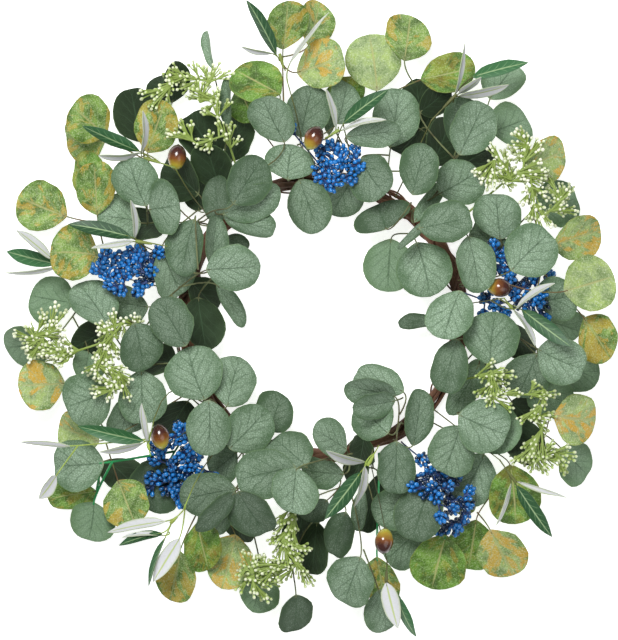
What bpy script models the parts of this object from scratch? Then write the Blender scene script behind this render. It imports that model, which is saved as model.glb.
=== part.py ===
"""Eucalyptus wreath lying on its back: a twisted vine ring with sprays of round leaves, olive sprigs,
olives, bunches of berries and seed sprays wired round it. +Z comes out of its face, +Y is its top.

Lengths in the tables and the layout are millimetres from the centre of the vine ring."""
import heapq
import math
import random

import bmesh
import bpy
import numpy as np
from mathutils import Vector
from mathutils.bvhtree import BVHTree

MM = 0.001
RING_RADIUS = 131.5
RING_TUBE = 8.8
RING_AXIS_HEIGHT = 6.8
RING_RELIEF = 1.0
RING_STEPS = 56
RING_SIDES = 8
RING_LOBES = 3
RING_TWISTS = 13

BLADE = 0.8
LEAF_GAP = 1.3
LOWEST = 6.0
LOWEST_STALK = 3.0
FOOT_GAP = 0.38
LEVEL_STEP = 14.0
CROWN_RADIUS = 155.0
TRUE_LENGTH = {"round": 52.0, "mottled": 54.0, "olive": 62.0}
TRUE_WIDTH = {"round": 48.0, "mottled": 48.0, "olive": 15.0}
MOST_PITCH = math.radians(24)
MOST_ROLL = {"round": 34.0, "mottled": 30.0, "olive": 62.0}

# Half of a blade's outline, base to tip: share of the length, share of the half width.
HALF = {
    "round": [(0.17, 0.68), (0.55, 1.0), (0.93, 0.52)],
    "mottled": [(0.16, 0.64), (0.56, 1.0), (0.94, 0.56)],
    "olive": [(0.3, 0.94), (0.68, 0.86)],
}
BASE_HALF = 0.8
HOP = 10.0
TURN = 14.0
JOINT_ROOM = 7.0
CROSSING = 60.0

STEM = {"round": 0.9, "mottled": 0.85, "olive": 0.8, "fruit": 0.8, "berry": 0.5, "seed": 0.5}
BERRY = 2.7
BUD = 1.7
NUDGES = 8
NUDGE_SEED = 1
NUDGE = 0.04
SCRAP = 16
THINNED = 1.45
FRUIT_LONG = 12.0
FRUIT_WIDE = 9.0

COLOURS = {
    "round": (0.11, 0.24, 0.15),
    "mottled": (0.32, 0.42, 0.14),
    "olive": (0.08, 0.25, 0.12),
    "fruit": (0.30, 0.10, 0.02),
    "berry": (0.01, 0.08, 0.45),
    "seed": (0.45, 0.55, 0.20),
    "ring": (0.07, 0.03, 0.02),
}

# Leaves: base x, y, tip x, y and width as seen from in front, then the level it lies at, 0 the lowest.
ROUND = {
    "eucalyptus_nnw": [
        (-90, 180, -90, 232, 12, 3),
        (-36, 167, -58, 211, 41, 4),
        (-85, 150, -78, 200, 30, 0),
        (-84, 108, -56, 151, 42, 4),
        (-118, 102, -118, 146, 30, 0),
        (-105, 238, -112, 276, 9, 1),
        (-100, 150, -128, 196, 42, 0),
        (-98, 122, -112, 166, 38, 0),
    ],
    "eucalyptus_n": [
        (-20, 172, -8, 222, 42, 2),
        (-33, 132, -28, 165, 48, 3),
        (-22, 132, -4, 81, 42, 2),
        (30, 135, 8, 97, 40, 1),
        (15, 185, 25, 226, 32, 2),
        (8, 176, 2, 206, 12, 0),
    ],
    "eucalyptus_nne": [
        (36, 152, 60, 116, 44, 3),
        (61, 85, 50, 109, 58, 2),
        (66, 163, 74, 220, 46, 2),
        (23, 172, 76, 178, 26, 4),
        (85, 117, 97, 165, 38, 4),
        (98, 175, 90, 228, 36, 0),
        (95, 180, 72, 156, 40, 0),
        (106, 146, 124, 190, 36, 0),
    ],
    "eucalyptus_ne": [
        (160, 210, 185, 243, 38, 0),
        (163, 178, 198, 192, 46, 1),
        (131, 155, 155, 206, 42, 4),
        (127, 162, 140, 211, 36, 2),
        (112, 118, 150, 140, 46, 2),
        (88, 92, 118, 132, 16, 1),
        (128, 142, 164, 164, 38, 0),
        (94, 196, 122, 220, 28, 0),
    ],
    "eucalyptus_ene": [
        (66, 76, 63, 25, 50, 1),
        (105, 98, 71, 66, 9, 4),
        (90, 72, 103, 21, 54, 3),
        (92, 86, 144, 97, 40, 4),
        (140, 78, 150, 24, 38, 4),
    ],
    "eucalyptus_e": [
        (170, 75, 165, 120, 46, 2),
        (180, 45, 218, 82, 52, 4),
        (205, 105, 246, 115, 47, 0),
        (205, 15, 241, 22, 44, 1),
        (176, 60, 142, 88, 36, 0),
        (212, -2, 250, -14, 36, 0),
    ],
    "eucalyptus_ese": [
        (131, 27, 115, -20, 44, 4),
        (108, -2, 72, -6, 15, 1),
        (128, -20, 115, -73, 36, 3),
        (160, -45, 165, 5, 54, 4),
        (205, -35, 187, -75, 46, 2),
        (205, -30, 250, -50, 46, 3),
        (215, -40, 265, -58, 42, 0),
        (180, -80, 200, -100, 30, 0),
        (150, -45, 122, -92, 27, 2),
        (136, -50, 172, -64, 34, 0),
        (176, -10, 204, -34, 28, 0),
    ],
    "eucalyptus_se": [
        (130, -92, 178, -112, 52, 4),
        (150, -85, 180, -125, 50, 2),
        (132, -103, 115, -150, 46, 3),
        (155, -130, 130, -178, 48, 2),
        (180, -95, 200, -140, 40, 0),
        (230, -125, 255, -152, 40, 0),
        (196, -66, 238, -82, 36, 0),
    ],
    "eucalyptus_sse": [
        (88, -122, 95, -67, 28, 3),
        (78, -70, 30, -52, 30, 2),
        (70, -75, 22, -65, 28, 3),
        (70, -79, 30, -86, 26, 4),
        (62, -110, 35, -78, 46, 1),
        (72, -117, 70, -168, 38, 4),
    ],
    "eucalyptus_ssse": [
        (100, -170, 47, -188, 40, 2),
        (102, -160, 85, -213, 46, 3),
        (95, -200, 60, -232, 44, 1),
        (55, -150, 40, -208, 25, 0),
        (38, -163, 35, -204, 14, 2),
        (36, -228, 20, -274, 46, 3),
        (55, -260, 62, -300, 38, 1),
        (-16, -178, -26, -222, 34, 0),
        (42, -128, 25, -158, 24, 0),
    ],
    "eucalyptus_s": [
        (24, -125, -8, -105, 34, 3),
        (20, -150, -20, -145, 30, 1),
        (-24, -142, -28, -187, 46, 4),
        (22, -185, 8, -229, 28, 2),
        (5, -175, -22, -192, 24, 1),
        (-5, -195, -10, -247, 30, 0),
        (40, -112, 35, -140, 26, 0),
        (-24, -265, -28, -302, 32, 0),
    ],
    "eucalyptus_ssw": [
        (-25, -142, -83, -155, 48, 3),
        (-15, -140, -48, -112, 44, 2),
        (-88, -125, -52, -88, 46, 3),
        (-50, -108, -38, -72, 38, 1),
    ],
    "eucalyptus_sw": [
        (-82, -163, -135, -175, 42, 3),
        (-82, -166, -118, -203, 18, 4),
        (-88, -172, -103, -206, 20, 1),
        (-80, -165, -52, -207, 40, 3),
        (-82, -128, -108, -150, 36, 0),
        (-76, -186, -80, -213, 34, 0),
        (-58, -238, -65, -280, 38, 0),
    ],
    "eucalyptus_wsw": [
        (-90, -84, -78, -38, 46, 2),
        (-112, -78, -128, -28, 56, 4),
        (-107, -78, -108, -131, 42, 4),
        (-128, -80, -150, -112, 40, 0),
    ],
    "eucalyptus_sw_outer": [
        (-208, -138, -258, -142, 50, 4),
        (-145, -135, -168, -185, 54, 1),
        (-217, -175, -222, -212, 44, 3),
        (-205, -135, -178, -160, 36, 0),
    ],
    "eucalyptus_w": [
        (-202, -70, -245, -86, 54, 3),
        (-172, -50, -170, -103, 46, 2),
        (-183, -75, -192, -112, 36, 1),
        (-178, -5, -170, -50, 42, 3),
        (-222, -32, -228, -58, 30, 1),
        (-262, -25, -303, -30, 42, 0),
        (-238, 15, -281, 22, 46, 0),
        (-203, -6, -232, 34, 42, 2),
        (-205, -12, -238, -30, 34, 0),
        (-140, -42, -176, -40, 34, 0),
        (-126, 36, -98, 6, 30, 0),
    ],
    "eucalyptus_wnw": [
        (-104, 48, -100, 97, 22, 2),
        (-110, 45, -59, 48, 44, 4),
        (-100, 32, -73, -8, 17, 1),
        (-122, 94, -134, 40, 36, 4),
        (-152, 66, -133, 20, 42, 2),
        (-130, -27, -157, 18, 40, 4),
        (-118, 20, -110, -30, 38, 0),
        (-166, 10, -205, 18, 36, 1),
    ],
    "eucalyptus_wnw_inner": [
        (-93, 98, -40, 122, 34, 2),
        (-98, 90, -104, 136, 28, 1),
        (-94, 99, -43, 82, 28, 1),
        (-96, 76, -71, 66, 20, 1),
    ],
    "eucalyptus_nw": [
        (-168, 106, -185, 152, 44, 4),
        (-165, 103, -136, 108, 54, 4),
        (-172, 92, -212, 98, 40, 2),
        (-172, 168, -183, 221, 42, 0),
        (-150, 205, -155, 235, 30, 0),
        (-142, 205, -139, 244, 26, 0),
        (-118, 118, -152, 150, 40, 0),
        (-150, 92, -190, 84, 34, 0),
    ],
}
MOTTLED = {
    "mottled_nw": [
        (-205, 175, -238, 203, 46, 3),
        (-208, 168, -247, 172, 40, 1),
        (-205, 130, -240, 143, 44, 1),
        (-167, 158, -150, 206, 44, 2),
    ],
    "mottled_w": [
        (-213, 98, -216, 150, 38, 2),
        (-244, 97, -290, 116, 49, 1),
        (-213, 60, -259, 62, 54, 3),
    ],
    "mottled_n": [
        (-40, 214, -83, 237, 44, 3),
        (-65, 188, -80, 222, 36, 0),
        (-37, 256, -33, 302, 40, 2),
        (-12, 260, -2, 302, 34, 1),
        (-24, 234, 21, 250, 46, 3),
    ],
    "mottled_nne": [
        (94, 228, 146, 240, 38, 2),
        (53, 217, 45, 271, 54, 1),
        (79, 246, 85, 290, 46, 2),
        (20, 195, 26, 231, 36, 0),
    ],
    "mottled_e": [
        (193, 143, 233, 160, 40, 2),
        (220, 68, 267, 84, 40, 2),
        (230, 25, 278, 40, 54, 3),
        (250, 0, 275, -38, 40, 2),
    ],
    "mottled_se": [
        (222, -93, 263, -98, 50, 2),
        (180, -140, 185, -197, 50, 2),
        (160, -203, 183, -246, 46, 2),
        (147, -193, 140, -241, 48, 1),
        (126, -185, 146, -178, 15, 1),
    ],
    "mottled_s": [
        (118, -207, 105, -258, 54, 1),
        (52, -229, 60, -273, 36, 0),
    ],
    "mottled_ssw": [
        (-135, -222, -145, -269, 40, 3),
        (-120, -195, -108, -240, 40, 2),
        (-82, -207, -95, -257, 46, 1),
    ],
    "mottled_wsw": [
        (-195, -155, -178, -197, 46, 3),
        (-215, -165, -262, -172, 30, 1),
        (-213, -118, -252, -103, 44, 1),
        (-245, -62, -289, -64, 48, 2),
    ],
}
# Olive sprigs: where the leaves meet, a point on the stalk, then the leaves.
OLIVE = {
    "olive_sprig_nw": (
        (-168, 152, -140, 143),
        [(-174, 158, -228, 182, 12, 5), (-173, 155, -212, 152, 6, 5), (-170, 156, -168, 196, 6, 5)],
    ),
    "olive_sprig_n": (
        (-40, 250, -33, 225),
        [(-43, 251, -71, 302, 12, 5), (-48, 251, -77, 257, 4, 5), (-32, 243, 5, 292, 4, 5)],
    ),
    "olive_sprig_top": (
        (15, 178, 3, 171),
        [(14, 181, 4, 218, 6, 5), (20, 186, 62, 217, 14, 5), (18, 180, 60, 190, 6, 5)],
    ),
    "olive_sprig_ne": (
        (127, 212, 104, 188),
        [
            (127, 212, 136, 261, 3, 5),
            (143, 230, 195, 243, 14, 5),
            (131, 210, 178, 220, 9, 5),
            (131, 213, 152, 228, 6, 5),
        ],
    ),
    "olive_sprig_w": (
        (-176, 73, -147, 68),
        [(-182, 78, -242, 90, 14, 5), (-180, 74, -219, 67, 6, 5), (-177, 76, -181, 112, 6, 5)],
    ),
    "olive_sprig_w_outer": (
        (-248, 51, -236, 50),
        [(-257, 57, -290, 84, 9, 1), (-255, 52, -303, 64, 15, 1), (-252, 47, -304, 41, 4, 1)],
    ),
    "olive_sprig_e": (
        (180, 10, 173, 19),
        [(183, 10, 220, 35, 6, 5), (184, 8, 204, -26, 6, 5), (190, 8, 236, -27, 16, 5)],
    ),
    "olive_sprig_wsw": (
        (-165, -121, -163, -130),
        [
            (-170, -117, -232, -103, 14, 5),
            (-170, -120, -210, -128, 6, 5),
            (-168, -118, -173, -82, 6, 5),
            (-240, -123, -288, -119, 5, 5),
            (-252, -150, -268, -172, 12, 5),
        ],
    ),
    "olive_sprig_sw": (
        (-143, -194, -132, -183),
        [
            (-150, -192, -205, -203, 10, 5),
            (-150, -205, -190, -206, 4, 5),
            (-152, -203, -192, -214, 9, 5),
            (-135, -209, -160, -250, 16, 5),
            (-150, -208, -165, -253, 5, 5),
        ],
    ),
    "olive_sprig_s": (
        (44, -139, 54, -121),
        [(40, -138, 3, -127, 8, 5), (42, -142, 32, -180, 7, 5), (37, -146, 3, -190, 16, 5)],
    ),
    "olive_sprig_se": (
        (184, -156, 169, -135),
        [(186, -155, 232, -170, 4, 5), (182, -158, 168, -197, 4, 5), (185, -160, 218, -208, 14, 5)],
    ),
    "olive_sprig_sse": (
        (61, -250, 62, -232),
        [(61, -252, 72, -295, 17, 5), (70, -265, 88, -303, 9, 5)],
    ),
}
# Olives: middle x, y, then the way its dark end points as seen from in front, then its level.
FRUIT = {
    "olive_fruit_nw": (-138, 153, 0.1, 0.9, 4),
    "olive_fruit_n": (-8, 171, 0.45, 0.85, 5),
    "olive_fruit_e": (169, 29, 0.95, -0.15, 3),
    "olive_fruit_wsw": (-154, -113, -0.2, 0.97, 4),
    "olive_fruit_s": (59, -212, -0.12, -0.99, 5),
}
# Bunches of berries and seed sprays: middle x, y and radius of each tuft.
BERRIES = {
    "berry_bunch_w": [(-205, 48, 17), (-172, 48, 18), (-195, 30, 5), (-176, 28, 5), (-158, 65, 4)],
    "berry_bunch_n": [(15, 145, 21), (-29, 180, 4)],
    "berry_bunch_e": [(206, 20, 9), (168, 52, 11), (167, 12, 7)],
    "berry_bunch_sw": [
        (-135, -115, 10),
        (-122, -132, 9),
        (-155, -145, 12),
        (-138, -152, 14),
        (-118, -147, 6),
        (-139, -168, 2),
    ],
    "berry_bunch_se": [
        (96, -138, 6),
        (93, -160, 9),
        (110, -157, 12),
        (115, -172, 7),
        (132, -182, 9),
        (118, -198, 10),
    ],
}
BERRY_LEVEL = {
    "berry_bunch_w": 3,
    "berry_bunch_n": 3,
    "berry_bunch_e": 2,
    "berry_bunch_sw": 2,
    "berry_bunch_se": 3,
}
SEEDS = {
    "seed_spray_nw": [
        (-140, 225, 8),
        (-162, 210, 6),
        (-128, 232, 6),
        (-115, 215, 7),
        (-100, 235, 5),
        (-97, 205, 6),
        (-138, 182, 6),
        (-120, 163, 5),
        (-90, 178, 4),
    ],
    "seed_spray_ne": [
        (164, 152, 6),
        (188, 160, 7),
        (225, 128, 6),
        (226, 110, 5),
        (208, 97, 6),
        (200, 112, 6),
        (178, 139, 8),
        (200, 136, 6),
        (158, 134, 5),
    ],
    "seed_spray_w": [
        (-283, -25, 6),
        (-270, -20, 8),
        (-257, -10, 8),
        (-258, -30, 9),
        (-248, -34, 4),
        (-203, -15, 8),
        (-205, -38, 10),
        (-198, -58, 9),
        (-190, -3, 4),
    ],
    "seed_spray_se": [
        (166, -55, 8),
        (160, -68, 7),
        (172, -77, 6),
        (208, -78, 8),
        (206, -93, 8),
        (208, -125, 9),
        (200, -137, 8),
        (218, -130, 8),
        (232, -136, 4),
    ],
    "seed_spray_s": [
        (-30, -198, 7),
        (-38, -212, 7),
        (-28, -225, 7),
        (-42, -237, 7),
        (-65, -225, 5),
        (-62, -242, 9),
        (-70, -254, 6),
        (-50, -252, 6),
        (-20, -245, 4),
    ],
}
SEED_LEVEL = 4


def ring_point(turn, side):
    """A point of the vine ring's skin: strands wind round the tube, and its underside is cut flat."""
    reach = RING_TUBE + RING_RELIEF * math.cos(RING_LOBES * side + RING_TWISTS * turn)
    out = RING_RADIUS + reach * math.cos(side)
    height = RING_AXIS_HEIGHT + reach * math.sin(side)
    return Vector((out * math.cos(turn), out * math.sin(turn), max(height, 0.0)))


def ring_mesh():
    points = []
    faces = []
    for i in range(RING_STEPS):
        for j in range(RING_SIDES):
            points.append(ring_point(math.tau * i / RING_STEPS, math.tau * j / RING_SIDES - 0.625 * math.pi))
            near = i * RING_SIDES
            far = (i + 1) % RING_STEPS * RING_SIDES
            k = (j + 1) % RING_SIDES
            faces.append((near + j, far + j, far + k))
            faces.append((near + j, far + k, near + k))
    return points, faces


class Leaf:
    """A blade laid out from its row: bent and tipped as far as its seen length and width ask for."""

    def __init__(self, kind, row, rng):
        base_x, base_y, tip_x, tip_y, width, self.level = row
        self.kind = kind
        seen = math.hypot(tip_x - base_x, tip_y - base_y)
        way = math.atan2(tip_y - base_y, tip_x - base_x)
        pitch = math.acos(min(1.0, seen / TRUE_LENGTH[kind]))
        pitch = min(pitch, MOST_PITCH) * (1 if rng.random() < 0.3 + 0.12 * self.level else -1)
        pitch += math.radians(rng.uniform(-5, 5))
        roll = math.acos(min(1.0, width / TRUE_WIDTH[kind]))
        roll = min(roll, math.radians(MOST_ROLL[kind])) * rng.choice((-1, 1))
        roll += math.radians(rng.uniform(-5, 5))
        self.length = seen / math.cos(pitch)
        self.half = 0.5 * width / math.cos(roll)
        self.cup = rng.uniform(1.0, 2.6) * rng.choice((1, 1, -1))
        self.droop = rng.uniform(0.5, 2.5)
        ahead = Vector((math.cos(way), math.sin(way), 0.0))
        left = Vector((-math.sin(way), math.cos(way), 0.0))
        up = Vector((0.0, 0.0, 1.0))
        self.u = ahead * math.cos(pitch) + up * math.sin(pitch)
        lift = up * math.cos(pitch) - ahead * math.sin(pitch)
        self.v = left * math.cos(roll) + lift * math.sin(roll)
        self.w = lift * math.cos(roll) - left * math.sin(roll)
        self.base = Vector((base_x, base_y, 0.0))

    def at(self, along, across, lift=0.0):
        bend = self.cup * across * across - self.droop * (2 * along - 1) ** 2 + lift
        return self.base + self.u * along * self.length + self.v * across * self.half + self.w * bend

    def plan(self):
        """(share along, share across) of the outline from base to base, of the midrib, and the triangles."""
        half = HALF[self.kind]
        start = BASE_HALF / self.half
        outline = [(0.0, start)] + half
        if self.kind == "olive":
            outline += [(1.0, 0.0)]
        outline += [(a, -b) for a, b in reversed(half)] + [(0.0, -start)]
        if self.kind == "olive":
            return outline, [], [(0, 6, 1), (1, 6, 5), (1, 5, 2), (2, 5, 4), (2, 4, 3)]
        last = len(outline)
        return outline, [(0.5, 0.0)], [(i, last, (i + 1) % last) for i in range(last)]

    def mesh(self, thick=BLADE, path=(), radius=0.0):
        """The blade, and its stalk run on from its base along the path."""
        outline, inner, faces = self.plan()
        count = len(outline)
        last = count - 1
        points = [self.at(a, b, thick / 2) for a, b in outline + inner]
        under = {0: len(points), last: len(points)}
        points.append(self.at(0.0, 0.0, -thick / 2))
        for i in range(1, last):
            under[i] = len(points)
            points.append(self.at(*outline[i], -thick / 2))
        for i, share in enumerate(inner):
            under[count + i] = len(points)
            points.append(self.at(*share, -thick / 2))
        solid = [(a, c, b) for a, b, c in faces]
        solid += [(under[a], under[b], under[c]) for a, b, c in faces]
        solid = [face for face in solid if len(set(face)) == 3]
        for i in range(last):
            solid.append((i, i + 1, under[i + 1]))
            solid.append((i, under[i + 1], under[i]))
        loop = [0, last, under[0]]
        if path:
            radii = [BASE_HALF] + [radius] * (len(path) - 2) + [radius * 0.6]
            run_tube(points, solid, loop, path, radii, self.v, self.w)
        else:
            solid.append(tuple(loop))
        return points, solid

    def raise_by(self, height):
        self.base.z += height

    def root(self):
        """The middle of the blade's base, and the way its stalk sets off."""
        base = self.at(0.0, 0.0)
        return base, (base - self.at(0.16, 0.0)).normalized()


def run_tube(points, faces, loop, path, radii, side, up):
    """Runs a three-sided stalk on from a loop of three points along the path, and closes its far end."""
    hand = 1 if (path[1] - path[0]).cross(side).dot(up) > 0 else -1
    for i in range(1, len(path)):
        before = (path[i] - path[i - 1]).normalized()
        after = (path[i + 1] - path[i]).normalized() if i + 1 < len(path) else before
        side = (side - before * side.dot(before)).normalized()
        up = before.cross(side) * hand
        plane = (before + after).normalized()
        fresh = []
        for a, b in ((0.87, 0.5), (-0.87, 0.5), (0.0, -1.0)):
            corner = (side * a + up * b) * radii[i]
            shift = corner.dot(plane) / max(0.5, before.dot(plane))
            fresh.append(len(points))
            points.append(path[i] + corner - before * shift)
        for j in range(3):
            k = (j + 1) % 3
            faces.append((loop[j], fresh[j], fresh[k]))
            faces.append((loop[j], fresh[k], loop[k]))
        loop = fresh
    faces.append(tuple(loop))


def sweep(path, radii, sides, turn=0.0):
    """A closed body swept along the path; a radius of 0 at its start is one point."""
    points = []
    faces = []
    axis = (path[1] - path[0]).normalized()
    side = axis.orthogonal().normalized()
    loop = None
    for i, place in enumerate(path):
        before = (place - path[i - 1]).normalized() if i else axis
        after = (path[i + 1] - place).normalized() if i + 1 < len(path) else before
        side = (side - before * side.dot(before)).normalized()
        plane = (before + after).normalized()
        if radii[i] == 0.0:
            points.append(place)
            loop = [0] * sides
            continue
        fresh = []
        for j in range(sides):
            spin = math.tau * j / sides + turn
            corner = (side * math.cos(spin) + before.cross(side) * math.sin(spin)) * radii[i]
            shift = corner.dot(plane) / max(0.5, before.dot(plane))
            fresh.append(len(points))
            points.append(place + corner - before * shift)
        if loop is None:
            faces += [(fresh[0], fresh[k], fresh[k - 1]) for k in range(2, sides)]
        else:
            for j in range(sides):
                k = (j + 1) % sides
                faces.append((loop[j], fresh[j], fresh[k]))
                if loop[j] != loop[k]:
                    faces.append((loop[j], fresh[k], loop[k]))
        loop = fresh
    faces += [(loop[0], loop[k - 1], loop[k]) for k in range(2, sides)]
    return points, faces


def ball_mesh(centre, radius, stretch=None, sides=4, rings=2, turn=0.0):
    """A faceted ball, long along stretch where that's given."""
    axis = Vector((0, 0, 1)) if stretch is None else stretch.normalized()
    long = radius if stretch is None else stretch.length
    side_a = axis.orthogonal().normalized()
    side_b = axis.cross(side_a)
    points = [centre + axis * long]
    for i in range(1, rings):
        polar = math.pi * i / rings
        for j in range(sides):
            spin = math.tau * (j + 0.5 * (i % 2)) / sides + turn
            flat = side_a * math.cos(spin) + side_b * math.sin(spin)
            points.append(centre + axis * long * math.cos(polar) + flat * radius * math.sin(polar))
    points.append(centre - axis * long)
    last = len(points) - 1
    faces = []
    for j in range(sides):
        k = (j + 1) % sides
        faces.append((0, 1 + j, 1 + k))
        faces.append((last, last - sides + k, last - sides + j))
        for i in range(rings - 2):
            a, b = 1 + i * sides + j, 1 + i * sides + k
            c, d = a + sides, b + sides
            if i % 2:
                faces += [(a, c, b), (b, c, d)]
            else:
                faces += [(a, c, d), (a, d, b)]
    return points, faces


def crown(x, y, level):
    """The least height for a level: the wreath is deepest over the ring and thins towards both edges."""
    off = (math.hypot(x, y) - CROWN_RADIUS) / 150.0
    return LOWEST + LEVEL_STEP * level * max(0.3, 1 - 0.55 * off * off)


class Heap:
    """What has been laid so far, as one surface that the next thing is dropped on."""

    def __init__(self):
        self.points = []
        self.faces = []
        self.owners = []
        self.tree = None

    def add(self, owner, mesh):
        points, faces = mesh
        start = len(self.points)
        self.points += [p.copy() for p in points]
        for face in faces:
            self.faces.append(tuple(start + i for i in face))
            self.owners.append(owner)
        self.tree = None

    def surface(self):
        if self.tree is None:
            self.tree = BVHTree.FromPolygons(self.points, self.faces)
        return self.tree

    def without(self, owner):
        faces = [f for f, o in zip(self.faces, self.owners) if o != owner]
        return BVHTree.FromPolygons(self.points, faces)

    def drop_owner(self, owner):
        kept = [k for k, o in enumerate(self.owners) if o != owner]
        self.faces = [self.faces[k] for k in kept]
        self.owners = [self.owners[k] for k in kept]
        self.tree = None

    def need(self, probes):
        """How far a set of points has to rise to clear what lies under them."""
        tree = self.surface()
        rise = -1e9
        for p in probes:
            hit = tree.ray_cast(Vector((p.x, p.y, 500.0)), Vector((0, 0, -1)))[0]
            if hit is not None:
                rise = max(rise, hit.z + LEAF_GAP - p.z)
        return rise


def probes_of(mesh):
    points, faces = mesh
    found = list(points)
    for face in faces:
        middle = Vector((0, 0, 0))
        for i in face:
            middle += points[i]
        found.append(middle / len(face))
        found.append((points[face[0]] + points[face[1]]) / 2)
    return found


def overlaps(heap, meshes):
    tree = heap.surface()
    for points, faces in meshes:
        if tree.overlap(BVHTree.FromPolygons(points, faces)):
            return True
    return False


def drop(heap, things, floor):
    """Raises the things together from their own level until they lie clear on top of the heap."""
    low = min(p.z for thing in things for p in thing.mesh(BLADE)[0])
    rise = floor - low
    for thing in things:
        rise = max(rise, heap.need(probes_of(thing.mesh(BLADE))))
    for thing in things:
        thing.raise_by(rise)
    for _ in range(40):
        if not overlaps(heap, [thing.mesh(BLADE + 2 * LEAF_GAP) for thing in things]):
            break
        for thing in things:
            thing.raise_by(1.2)


class Fruit:
    def __init__(self, row):
        x, y, way_x, way_y, self.level = row
        self.base = Vector((x, y, 0.0))
        self.way = Vector((way_x, way_y, 0.12)).normalized()

    def mesh(self, thick=BLADE):
        grown = thick - BLADE
        return ball_mesh(self.base, FRUIT_WIDE + grown, self.way * (FRUIT_LONG + grown), 8, 5)

    def raise_by(self, height):
        self.base.z += height


class Ball:
    def __init__(self, x, y, radius, turn):
        self.base = Vector((x, y, 0.0))
        self.radius = radius
        self.turn = turn

    def mesh(self, thick=BLADE):
        return ball_mesh(self.base, self.radius + 0.5 * (thick - BLADE), None, 4, 2, self.turn)

    def raise_by(self, height):
        self.base.z += height


def tuft(rng, x, y, radius, ball, room):
    """Seeded places in a tuft, none nearer than room to another."""
    found = []
    wanted = max(1, round(0.6 * (radius / (0.5 * room)) ** 2))
    for _ in range(30 * wanted):
        spin = rng.uniform(0, math.tau)
        reach = radius * math.sqrt(rng.random())
        px, py = x + reach * math.cos(spin), y + reach * math.sin(spin)
        if all(math.hypot(px - b.base.x, py - b.base.y) >= room for b in found):
            found.append(Ball(px, py, ball, rng.uniform(0, math.pi / 2)))
        if len(found) == wanted:
            break
    return found


def clear(tree, start, end, reach):
    """True where nothing of the tree comes within about reach of the line."""
    steps = max(1, math.ceil((end - start).length / reach))
    for i in range(steps + 1):
        if tree.find_nearest(start.lerp(end, i / steps), reach)[0] is not None:
            return False
    return True


def turning(before, place, after):
    """What a turn adds to a way's cost, in millimetres."""
    turn = (place - before).normalized().dot((after - place).normalized())
    return TURN * (1 - turn) + (6 * TURN if turn < -0.3 else 0.0)


class Roads:
    """Ways that stalks can take through the free room between the blades of other sprays."""

    def __init__(self, tree, own, reach, must, rng, low, high, count):
        self.tree = tree
        self.own = own
        self.ends = len(must)
        self.reach = reach
        self.points = list(must)
        tries = 0
        while len(self.points) < len(must) + count and tries < 12 * count:
            tries += 1
            z = low.z + (high.z - low.z) * rng.random() ** 1.6
            p = Vector((rng.uniform(low.x, high.x), rng.uniform(low.y, high.y), z))
            if tree.find_nearest(p, reach * 1.3)[0] is None:
                self.points.append(p)
        self.known = {}

    def neighbours(self, near):
        where = np.array([tuple(p) for p in self.points])
        self.apart = np.linalg.norm(where[:, None] - where[None], axis=2)
        order = np.argsort(self.apart, axis=1)[:, 1 : near + 1]
        beside = [set(map(int, row)) for row in order]
        for i, row in enumerate(order):
            for j in row:
                beside[int(j)].add(i)
        return [sorted(found) for found in beside]

    def joined(self, i, j):
        key = (min(i, j), max(i, j))
        if key not in self.known:
            start, end = self.points[key[0]], self.points[key[1]]
            free = clear(self.tree, start, end, self.reach)
            if free and self.own is not None:
                way = end - start
                near = 0.25 if key[0] < self.ends else 0.0
                far = 0.75 if key[1] < self.ends else 1.0
                if not clear(self.own, start + way * near, start + way * far, self.reach):
                    free = None
            self.known[key] = free
        return self.known[key]

    def grow(self, root, ends, tails, near=16):
        """Joins every end to the root by the shortest ways to what is already joined."""
        free = {root}
        paths = {}
        todo = set(ends)
        while todo:
            beside = self.neighbours(near)
            best = {i: 0.0 for i in free}
            back = {}
            queue = [(0.0, i) for i in sorted(free)]
            heapq.heapify(queue)
            reached = None
            settled = set()
            while queue:
                cost, i = heapq.heappop(queue)
                if i in settled:
                    continue
                settled.add(i)
                if i in todo:
                    reached = i
                    break
                for j in beside[i]:
                    if j in settled:
                        continue
                    onward = cost + float(self.apart[i, j]) + HOP
                    if i in back:
                        onward += turning(self.points[back[i]], self.points[i], self.points[j])
                    if j in todo and tails[j]:
                        onward += turning(self.points[i], self.points[j], tails[j][0])
                    if onward >= best.get(j, 1e9):
                        continue
                    open_way = self.joined(i, j)
                    if open_way is None:
                        onward += CROSSING
                    if open_way is not False and onward < best.get(j, 1e9):
                        best[j] = onward
                        back[j] = i
                        heapq.heappush(queue, (onward, j))
            if reached is None:
                break
            path = [reached]
            while path[-1] in back:
                path.append(back[path[-1]])
            path = self.straighten(path)
            paths[reached] = path
            free.discard(path[-1])
            free |= set(path[:-1])
            todo -= set(path)
            for i, j in zip(path, path[1:]):
                parts = int(self.apart[i, j] / JOINT_ROOM)
                for k in range(1, parts):
                    free.add(len(self.points))
                    self.points.append(self.points[i].lerp(self.points[j], k / parts))
        return paths, todo

    def straighten(self, path):
        kept = [path[0]]
        i = 0
        while i < len(path) - 1:
            j = len(path) - 1
            while j > i + 1 and not self.joined(path[i], path[j]):
                j -= 1
            kept.append(path[j])
            i = j
        return kept


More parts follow.
